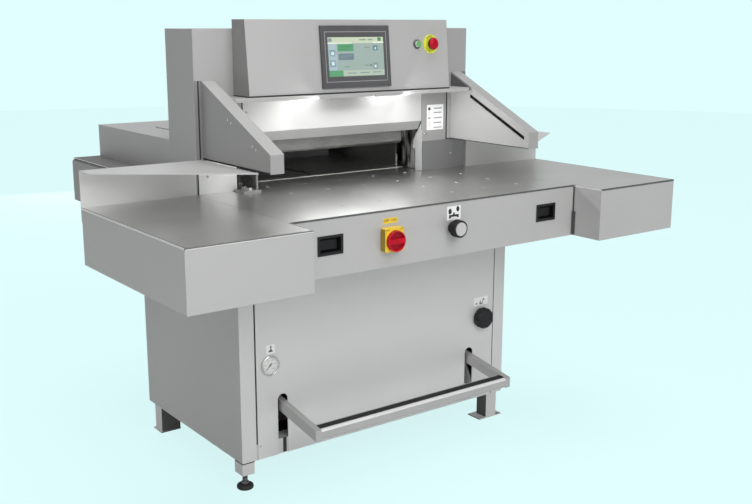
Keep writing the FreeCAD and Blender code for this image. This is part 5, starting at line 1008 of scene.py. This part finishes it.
class CUTTER_OT_stop_and_start(CutterStep):
    """Stop button with its collar, and start button"""
    bl_idname = "cutter.stop_and_start"
    bl_label = "Stop and start buttons"

    def make(self, sizes, colours):
        stop, start = (300, 1326), (243, 1326)
        collar = turned([(0.1, 31), (3.4, 31), (4.5, 30.3), (5, 29), (5, 22), (4.2, 21), (4.2, 8.2)], 64)
        mount(collar, on_console(*stop), CONSOLEWARD, "stop_collar", "yellow_plastic", "collar yellow",
              ("button_collars",))
        marks = []
        for turn in (20, 140, 260):
            marks.append(arc(24.6, 27.2, turn, turn + 58, 5.0, 0.1, 14))
            head = disc(5.2, 5.2, 0.1, (0, 0), 5.0, 3)
            angle = math.radians(turn + 64)
            marks.append(put(head, (25.9 * math.cos(angle), 25.9 * math.sin(angle), 0),
                             (0, 0, angle + math.radians(90))))
        mount(joined(marks), on_console(*stop), CONSOLEWARD, "stop_arrows", "yellow_plastic", "olive print")
        top = proud("stop_button", *stop)
        cap = turned([(-12, 7.9), (top - 17, 7.9), (top - 16.5, 13), (top - 15, 18.4), (top - 13.5, 19.7),
                      (top - 9, 20), (top - 6.5, 19.4), (top - 4, 17.4), (top - 2, 14), (top - 0.8, 10),
                      (top - 0.2, 6), (top, 2)], 64)
        # The mushroom is dark red as painted shade, with crimson only on the faces that look out.
        mount(cap, on_console(*stop), CONSOLEWARD, "stop_mushroom", "red_plastic", "dark red",
              ("stop_button",), 50, body="stop")
        outward = Vector((0, -math.cos(TILT), math.sin(TILT)))
        repaint(cap, "stop red", lambda place, way: way.dot(outward) > 0.35)
        ring = turned([(0.1, 15), (3.5, 15), (4.6, 14.4), (5, 13.6), (5, 12.2), (4.4, 11.6), (1.0, 11.6)],
                      48)
        mount(ring, on_console(*start), CONSOLEWARD, "start_ring", "black_plastic", "bezel",
              ("button_collars",))
        top = proud("start_button", *start)
        lens = turned([(-12, 7.9), (3.4, 7.9), (3.4, 10.9), (top - 1.6, 10.9), (top - 0.7, 10.4),
                       (top - 0.2, 9), (top - 0.4, 6), (top - 0.5, 3)], 48)
        mount(lens, on_console(*start), CONSOLEWARD, "start_lens", "green_plastic", "green",
              ("start_button",), 50, body="start")
        # The lens's side faces are pale as a painted highlight.
        repaint(lens, "pale rim", lambda place, way: way.dot(outward) < 0.5)


class CUTTER_OT_lamps(CutterStep):
    """Lamp strips under the sill"""
    bl_idname = "cutter.lamp_strips"
    bl_label = "Lamp strips"

    def make(self, sizes, colours):
        shells, lenses = [], []
        for low, high in islands("lamps"):
            shell = block(low, high)
            edit(shell)
            mark_faces(shell, lambda place, way: way.z < -0.9)
            bpy.ops.mesh.inset(thickness=0.002, depth=0)
            bpy.ops.mesh.inset(thickness=0.0002, depth=-0.0015)
            leave()
            soften(shell, sizes.plastic_round / 2)
            shells.append(shell)
            lens = block((low.x + 2.6, low.y + 2.6, low.z + 0.3), (high.x - 2.6, high.y - 2.6, low.z + 1.6))
            soften(lens, 0.0006, 3)
            lenses.append(lens)
        hand_over(joined(shells), "lamp_shells", "lamp_lens", "label", ("lamps",))
        hand_over(joined(lenses), "lamp_lenses", "lamp_lens", "lens")


class CUTTER_OT_light_curtain(CutterStep):
    """Light curtain bars with a row of windows in the arms"""
    bl_idname = "cutter.light_curtain"
    bl_label = "Light curtain"

    def make(self, sizes, colours):
        eased("light_curtain_bars", sizes.plastic_round, "black gloss")
        slope = math.atan2(1149 - 1025, 548 - 278)
        windows = []
        for side in (-1, 1):
            for number in range(12):
                share = (number + 0.6) / 12
                pane = plate(13, 6.5, 1.1, 2.0, 0, (0, 0), 3)
                turn = Matrix.Rotation(slope, 4, "X") @ Euler((0, 0, math.pi / 2)).to_matrix().to_4x4()
                face = Matrix.Rotation(-side * math.pi / 2, 4, "Y")
                pane.data.transform(turn @ face @ Euler((0, 0, math.pi / 2)).to_matrix().to_4x4())
                y = WING_FRONT + 278 + 270 * share
                z = 1025 + 124 * share
                windows.append(put(pane, (side * 470.6, y, z)))
        hand_over(joined(windows), "curtain_windows", "black_cap", "black gloss")


class CUTTER_OT_cut_buttons(CutterStep):
    """Two-hand cut buttons in their recessed housings"""
    bl_idname = "cutter.cut_buttons"
    bl_label = "Cut buttons"

    def make(self, sizes, colours):
        eased("cut_button_housings", 1.3 / 1000, "black", 3)
        for side, x in (("left", -413), ("right", 413)):
            eased(f"cut_button_{side}", 1.6 / 1000, "black gloss", 3)
            rim = frame_plate(70, 42, 1.2, 0.5, 1.8)
            soften(rim, 0.0002)
            mount(rim, (x, APRON, 809), FRONTWARD, f"cut_rim_{side}", "black_plastic", "black gloss")


class CUTTER_OT_main_switch(CutterStep):
    """Red and yellow main switch"""
    bl_idname = "cutter.main_switch"
    bl_label = "Main switch"

    def make(self, sizes, colours):
        housing = eased("main_switch", 1.6 / 1000, "yellow", 3)
        repaint(housing, "shaded yellow", lambda place, way: way.x < -0.7)
        knob = eased("switch_knob", 1.2 / 1000, "red", 3)
        repaint(knob, "deep red", lambda place, way: (
            way.y < -0.5 and place.x > -214 and abs(place.z - 799) > 7.5
            and math.hypot(place.x + 209, place.z - 799) < 26))
        front = APRON - 21
        collar = turned([(-0.5, 33.2), (1.0, 33.2), (1.8, 32.6), (2.0, 31.8), (2.0, 31.0), (1.6, 30.7),
                        (-0.5, 30.7)], 64)
        mount(collar, (-209, front, 799), FRONTWARD, "switch_collar", "yellow_plastic", "yellow")
        marks = [words("OFF", 6.5, 0.06, (-25.5, 29.6), 0.06), words("ON", 6.5, 0.06, (26, 29.6), 0.06)]
        mount(joined(marks), (-209, front, 802), FRONTWARD, "switch_words", "black_plastic", "print",
              smooth=20)


class CUTTER_OT_handwheel(CutterStep):
    """Handwheel of the back gauge with its ribbed rim and grey cap"""
    bl_idname = "cutter.handwheel"
    bl_label = "Handwheel"

    def make(self, sizes, colours):
        place = (22, APRON, 807)
        wheel = turned([(-20, 6), (0, 6), (0, 17), (3, 17), (5, 15.5), (13, 16), (16, 24.6), (17.5, 26),
                        (37, 26), (39, 25.5), (40, 24), (40, 21.2), (38, 20.8), (38, 5)], 72)
        ribs(wheel, lambda place, way: abs(way.z) < 0.1 and 0.017 < place.z < 0.0372, -0.0007)
        mount(wheel, place, FRONTWARD, "handwheel_rim", "black_plastic", "black", ("handwheel",), 30,
              body="wheel")
        cap = turned([(37.8, 20.2), (40.6, 20.2), (41.5, 19.6), (41.9, 18.2), (42, 15), (41.8, 6)], 64)
        mount(cap, place, FRONTWARD, "handwheel_cap", "stick_plastic", "cap grey", smooth=40, body="wheel")
        dot = bar(1.4, 7, 0.1, (0, 14), 42.0)
        mount(dot, place, FRONTWARD, "handwheel_mark", "black_plastic", "grey print", body="wheel")


class CUTTER_OT_pressure_gauge(CutterStep):
    """Pressure gauge with dial, numbers, needle and glass"""
    bl_idname = "cutter.pressure_gauge"
    bl_label = "Pressure gauge"

    def make(self, sizes, colours):
        place = (-432, CABINET, 386)
        ring = turned([(-30, 25.9), (0.05, 25.9), (0.05, 31.5), (5.6, 31.5), (7.2, 30.9), (8, 29.6),
                       (8, 28.4), (7.4, 27.6), (0.6, 27.5), (0.6, 3.2)], 72)
        mount(ring, place, FRONTWARD, "gauge_ring", "gauge_case", "satin ring", ("pressure_gauge",), 30)
        dial = turned([(0.6, 27.4), (0.8, 27.4)], 72)
        mount(dial, place, FRONTWARD, "gauge_dial", "gauge_case", "dial")
        marks = [arc(24.2, 24.6, -45, 225, 0.8, 0.1, 40)]
        for number in range(51):
            angle = 225 - 270 * number / 50
            radians = math.radians(angle)
            long = 4.2 if number % 5 == 0 else 2.0
            wide = 0.7 if number % 5 == 0 else 0.35
            middle = ((24.2 - long / 2) * math.cos(radians), (24.2 - long / 2) * math.sin(radians))
            marks.append(bar(long, wide, 0.1, middle, 0.8, angle))
            if number % 10 == 0:
                marks.append(words(str(number * 5), 4.6, 0.05,
                                   (16.2 * math.cos(radians), 16.2 * math.sin(radians)), 0.85))
        mount(joined(marks), place, FRONTWARD, "gauge_marks", "black_plastic", "print", smooth=20)
        needle = block((-9, -1.9, 2.6), (20, 1.9, 3.2))
        edit(needle, "VERT")
        mark_points(needle, lambda place: place.x > 0.01)
        bpy.ops.transform.resize(value=(1, 0.25, 1), center_override=mm(20, 0, 2.9))
        leave()
        put(needle, (0, 0, 0), (0, 0, math.radians(225)))
        hub = turned([(0.8, 2.2), (3.1, 2.2), (3.1, 3), (3.5, 2.9), (3.8, 2.2)], 32)
        mount(joined([needle, hub]), place, FRONTWARD, "needle_and_hub", "black_cap", "black gloss",
              ("gauge_needle",), body="needle")
        glass = turned([(6.0, 27.3), (7.3, 27.3), (7.5, 26.9)], 72)
        mount(glass, place, FRONTWARD, "gauge_pane", "clear_glass", "clear glass", ("gauge_glass",))


class CUTTER_OT_pressure_knob(CutterStep):
    """Lobed knob of the clamp pressure"""
    bl_idname = "cutter.pressure_knob"
    bl_label = "Pressure knob"

    def make(self, sizes, colours):
        eased("pressure_knob", 1.8 / 1000, "black", 4)


class CUTTER_OT_levelling_foot(CutterStep):
    """Round levelling foot with its nut and threaded stem"""
    bl_idname = "cutter.levelling_foot"
    bl_label = "Levelling foot"

    def make(self, sizes, colours):
        place = (-514, -262, 0)
        pad = turned([(0, 21), (1, 23.4), (3, 25.4), (6, 26), (10, 25.7), (13, 24), (15, 20), (16, 14),
                     (16.4, 10)], 64)
        mount(pad, place, UPWARD, "foot_pad", "black_rubber", "rubber", ("levelling_foot",))
        steps = [(16.4, 8)]
        while steps[-1][0] < 48.5:
            height = steps[-1][0]
            steps += [(height + 0.8, 7.1), (height + 1.6, 8)]
        steps.append((51, 8))
        stem = turned(steps, 32)
        nut = hexagon(13, 17, 23)
        soften(nut, 0.0008)
        mount(joined([stem, nut]), place, UPWARD, "foot_stem", "bright_steel", "dull zinc")


class CUTTER_OT_pedal(CutterStep):
    """Pedal bar with its ribbed tread and end caps"""
    bl_idname = "cutter.pedal"
    bl_label = "Pedal"

    def make(self, sizes, colours):
        frame_bar = eased("pedal_frame", sizes.steel_round, "pedal steel", 3)
        # A painted highlight along the bar's top front edge.
        repaint(frame_bar, "pedal edge", lambda place, way: (
            place.y < -470 and abs(place.x + 8) < 371 and 0.12 < way.z < 0.995))
        repaint(frame_bar, "pedal cap", lambda place, way: (
            way.y < -0.7 and abs(place.x + 8) > 371))
        low, high = (value * 1000 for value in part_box("pedal_tread"))
        strips = [block(low, (high.x, high.y, high.z - 1.4))]
        pitch = sizes.tread_pitch * 1000
        count = int((high.y - low.y) // pitch)
        start = (low.y + high.y) / 2 - pitch * (count - 1) / 2
        for number in range(count):
            y = start + pitch * number
            rib = block((low.x + 1, y - 1.2, high.z - 1.6), (high.x - 1, y + 1.2, high.z))
            soften(rib, 0.0006, 2)
            strips.append(rib)
        hand_over(joined(strips), "tread_ribs", "black_rubber", "rubber", ("pedal_tread",), body="pedal")


class CUTTER_OT_labels(CutterStep):
    """Plain printed plates beside the controls"""
    bl_idname = "cutter.labels"
    bl_label = "Label plates"

    def label(self, name, place, wide, high, film, sizes, parts, corner=2.0):
        """A plate on a front with its print."""
        thick = sizes.label_sheet * 1000
        slot = "yellow_plastic" if film == "yellow" else "stick_plastic"
        mount(plate(wide, high, thick, corner), place, FRONTWARD, name, slot, film)
        for ink, shapes in parts.items():
            mount(joined(shapes), place, FRONTWARD, f"{name}_{ink.replace(' ', '_')}",
                      "black_plastic" if ink == "print" else "bezel_plastic", ink, smooth=20)

    def make(self, sizes, colours):
        low = sizes.label_sheet * 1000
        ink = sizes.mark_sheet * 1000
        self.label("switch_label", (-210, APRON, 854), 50, 15, "yellow", sizes, {
            "print": [words("OFF - ON", 10.5, ink / 2, (0, 0), low + ink / 2)]}, 1.5)
        self.label("wheel_label", (27, APRON, 849.5), 53, 41, "label", sizes, {
            "print": [
                disc(12.5, 17, ink, (-15, 5.5), low), disc(12, 16, ink, (15, 11), low),
                bar(37, 6, ink, (0, -8), low), bar(6, 8, ink, (0, -2.5), low),
                bar(8, 4.5, ink, (-15, -12.5), low, 12), bar(8, 4.5, ink, (15, -11.5), low, -12),
            ]})
        self.label("gauge_label", (-428.5, CABINET, 436.5), 29, 29, "label", sizes, {
            "grey print": [bar(15, 4, ink, (0, -7), low), bar(4.5, 13, ink, (1, 1), low),
                           disc(7, 7, ink, (1, 7), low), disc(12, 6, ink, (0, -4.6), low)]})
        self.label("knob_label", (424.5, CABINET, 446.5), 65, 29, "label", sizes, {
            "grey print": [arc(6.6, 10.4, 10, 170, low, ink), disc(10, 8, ink, (12.5, 5), low),
                           bar(4, 12, ink, (-2, -3.5), low), bar(12, 3.4, ink, (2, -10), low),
                           disc(9, 7, ink, (-20, -7), low)]})
        lines = [bar(38 - 3 * (number % 2), 3.8, ink, (12 - 1.5 * (number % 2), level), low)
                 for number, level in enumerate((31, 16, -2, -19, -36))]
        self.label("jamb_label", (396.5, JAMB, 1071), 75, 88, "label", sizes, {
            "grey print": lines,
            "print": [disc(11, 11, ink, (-27, 30), low)],
            "dun": [disc(9, 9, ink, (-27, -2), low)],
            "pale red": [bar(6, 14, ink, (-27, 15), low), bar(6, 24, ink, (-27, -24), low)]})


class CUTTER_OT_stage(CutterStep):
    """Set the camera, the floor, the background and the lamps"""
    bl_idname = "cutter.stage"
    bl_label = "Stage"

    # Yaw, pitch and roll in degrees, the place in metres, the focal length and the width in pixels
    CAMERA_TURN = (36.71, -12.83, -0.13)
    CAMERA_PLACE = (-1.9157, -2.8114, 1.4008)
    FOCAL, PICTURE_WIDE, SENSOR = 1014.6, 752, 36

    def make(self, sizes, colours):
        scene = bpy.context.scene
        scene.view_settings.view_transform = "Standard"
        yaw, pitch, roll = (math.radians(value) for value in self.CAMERA_TURN)
        ahead = Vector((math.sin(yaw) * math.cos(pitch), math.cos(yaw) * math.cos(pitch), math.sin(pitch)))
        right = Vector((math.cos(yaw), -math.sin(yaw), 0))
        down = ahead.cross(right)
        across = math.cos(roll) * right + math.sin(roll) * down
        below = -math.sin(roll) * right + math.cos(roll) * down
        turn = Matrix((across, -below, -ahead)).transposed().to_4x4()
        turn.translation = self.CAMERA_PLACE
        bpy.ops.object.camera_add()
        camera = bpy.context.view_layer.objects.active
        camera.name = "camera"
        camera.matrix_world = turn
        camera.data.sensor_width = self.SENSOR
        camera.data.lens = self.FOCAL * self.SENSOR / self.PICTURE_WIDE
        camera.data.clip_end = 100
        scene.camera = camera
        self.background(scene, tuple(colours.backdrop))
        self.floor(tuple(colours.backdrop))
        self.lamps()

    def background(self, scene, backdrop):
        world = bpy.data.worlds.new("studio")
        scene.world = world
        world.use_nodes = True
        tree = world.node_tree
        tree.nodes.clear()
        rays, seen = light_path(tree)
        way = wire(tree, "ShaderNodeTexCoord").outputs["Generated"]
        parts = wire(tree, "ShaderNodeSeparateXYZ", {0: way}).outputs
        side = wire(tree, "ShaderNodeMapRange", {
            "Value": parts["X"], "From Min": -0.9, "From Max": 0.6, "To Min": 0.0, "To Max": 1.0},
            interpolation_type="SMOOTHSTEP").outputs[0]
        studio = blend(tree, side, (0.32, 0.33, 0.33), (0.54, 0.56, 0.56))
        soft = (0.10, 0.10, 0.10)
        mirrored = blend(tree, rays["Is Glossy Ray"], soft, studio)
        wire(tree, "ShaderNodeOutputWorld", {"Surface": wire(tree, "ShaderNodeBackground", {
            "Color": blend(tree, seen, mirrored, backdrop), "Strength": 1.0}).outputs[0]})

    def floor(self, backdrop):
        bpy.ops.mesh.primitive_circle_add(vertices=96, radius=14, fill_type="NGON", location=(0, 0, -0.0005))
        floor = settled()
        floor.name = "floor"
        material = bpy.data.materials.new("pale floor")
        material.use_nodes = True
        tree = material.node_tree
        tree.nodes.clear()
        rays, seen = light_path(tree)
        seen = added(tree, seen, rays["Is Glossy Ray"])
        shown = blend(tree, rays["Is Glossy Ray"], backdrop, (0.62, 0.66, 0.66))
        glowing = wire(tree, "ShaderNodeEmission", {"Color": shown, "Strength": 1.0}).outputs[0]
        lit = wire(tree, "ShaderNodeBsdfDiffuse", {"Color": (*shade(backdrop, 0.99), 1)}).outputs[0]
        shown = wire(tree, "ShaderNodeMixShader", {0: 0.13, 1: glowing, 2: lit}).outputs[0]
        plain = wire(tree, "ShaderNodeBsdfDiffuse", {"Color": (0.72, 0.72, 0.72, 1)}).outputs[0]
        wire(tree, "ShaderNodeOutputMaterial", {"Surface": wire(
            tree, "ShaderNodeMixShader", {0: seen, 1: plain, 2: shown}).outputs[0]})
        floor.data.materials.append(material)

    AIM = Vector((0, -0.2, 0.7))
    LIGHT_SIZE = 2.4
    LIGHTS = (
        ("left front light", (-2.4, -4.6, 1.1), 17),
        ("high left light", (-2.4, -3.9, 3.2), 38),
        ("high front light", (0, -4.6, 3.4), 88),
        ("back light", (-3.4, 2.6, 3.2), 14),
        ("rear light", (1.6, 5.2, 1.3), 60),
    )
    BROAD, SPOT, THROW, SHEEN = 0.05, 0.055, 0.8, 0.9
    STRIPS = (
        ("left broad", (-0.181, -0.132, 1.159), (0, 0.6, -1), 0.144, 0.012, BROAD),
        ("right broad", (0.139, -0.132, 1.159), (0, 0.6, -1), 0.144, 0.012, BROAD),
        ("left spot", (-0.161, -0.100, 1.152), (0, 1, -0.25), 0.13, 0.008, SPOT),
        ("right spot", (0.178, -0.100, 1.152), (0, 1, -0.25), 0.15, 0.008, SPOT),
        ("sheen", (0.01, -0.135, 1.16), (0, -0.5, -1), 0.42, 0.012, SHEEN),
        ("left throw", (-0.15, -0.17, 1.15), (-0.85, -0.5, -0.4), 0.1, 0.02, THROW),
        ("right throw", (0.15, -0.17, 1.15), (0.85, -0.5, -0.4), 0.1, 0.02, THROW),
    )
    MIRRORED = ("left front light", "high left light", "high front light", "sheen")

    def lamp(self, name, place, way, long, high, power):
        """A soft light that the camera itself does not see."""
        bpy.ops.object.light_add(type="AREA", location=place)
        lamp = bpy.context.view_layer.objects.active
        lamp.name = name
        lamp.rotation_euler = Vector(way).to_track_quat("-Z", "Y").to_euler()
        lamp.data.shape = "RECTANGLE"
        lamp.data.size = long
        lamp.data.size_y = high
        lamp.data.energy = power
        lamp.visible_camera = False
        lamp.visible_glossy = name in self.MIRRORED

    def lamps(self):
        for name, place, power in self.LIGHTS:
            self.lamp(name, place, self.AIM - Vector(place), self.LIGHT_SIZE, self.LIGHT_SIZE, power)
        for row in self.STRIPS:
            self.lamp(*row)
        bpy.ops.object.light_add(type="SUN", location=(0, 0, 4))
        top = bpy.context.view_layer.objects.active
        top.name = "top light"
        top.rotation_euler = Vector((0, 0.13, -1)).to_track_quat("-Z", "Y").to_euler()
        top.data.energy = 1.9
        top.data.angle = math.radians(50)


CLASSES = [
    CutterSizes, CutterColours, CUTTER_OT_finishes, CUTTER_OT_covers, CUTTER_OT_painted_shade, CUTTER_OT_mechanism,
    CUTTER_OT_screws, CUTTER_OT_nozzles, CUTTER_OT_screen, CUTTER_OT_stop_and_start, CUTTER_OT_lamps,
    CUTTER_OT_light_curtain, CUTTER_OT_cut_buttons, CUTTER_OT_main_switch, CUTTER_OT_handwheel,
    CUTTER_OT_pressure_gauge, CUTTER_OT_pressure_knob, CUTTER_OT_levelling_foot, CUTTER_OT_pedal,
    CUTTER_OT_labels, CUTTER_OT_stage,
]
STEPS = [kind for kind in CLASSES if issubclass(kind, CutterStep)]


class CUTTER_PT_panel(bpy.types.Panel):
    """The cutter's steps in the order in which they are run"""
    bl_idname = "CUTTER_PT_panel"
    bl_label = "Paper cutter"
    bl_space_type = "VIEW_3D"
    bl_region_type = "UI"
    bl_category = "Cutter"

    def draw(self, context):
        for settings in (context.scene.cutter_sizes, context.scene.cutter_colours):
            for name in settings.__annotations__:
                self.layout.prop(settings, name)
        for step in STEPS:
            self.layout.operator(step.bl_idname)


def register():
    for kind in CLASSES + [CUTTER_PT_panel]:
        bpy.utils.register_class(kind)
    bpy.types.Scene.cutter_sizes = bpy.props.PointerProperty(type=CutterSizes)
    bpy.types.Scene.cutter_colours = bpy.props.PointerProperty(type=CutterColours)


def unregister():
    del bpy.types.Scene.cutter_colours
    del bpy.types.Scene.cutter_sizes
    for kind in reversed(CLASSES + [CUTTER_PT_panel]):
        bpy.utils.unregister_class(kind)


def main():
    register()
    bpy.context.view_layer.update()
    for step in STEPS:
        group, name = step.bl_idname.split(".")
        getattr(getattr(bpy.ops, group), name)()


if __name__ == "__main__":
    main()
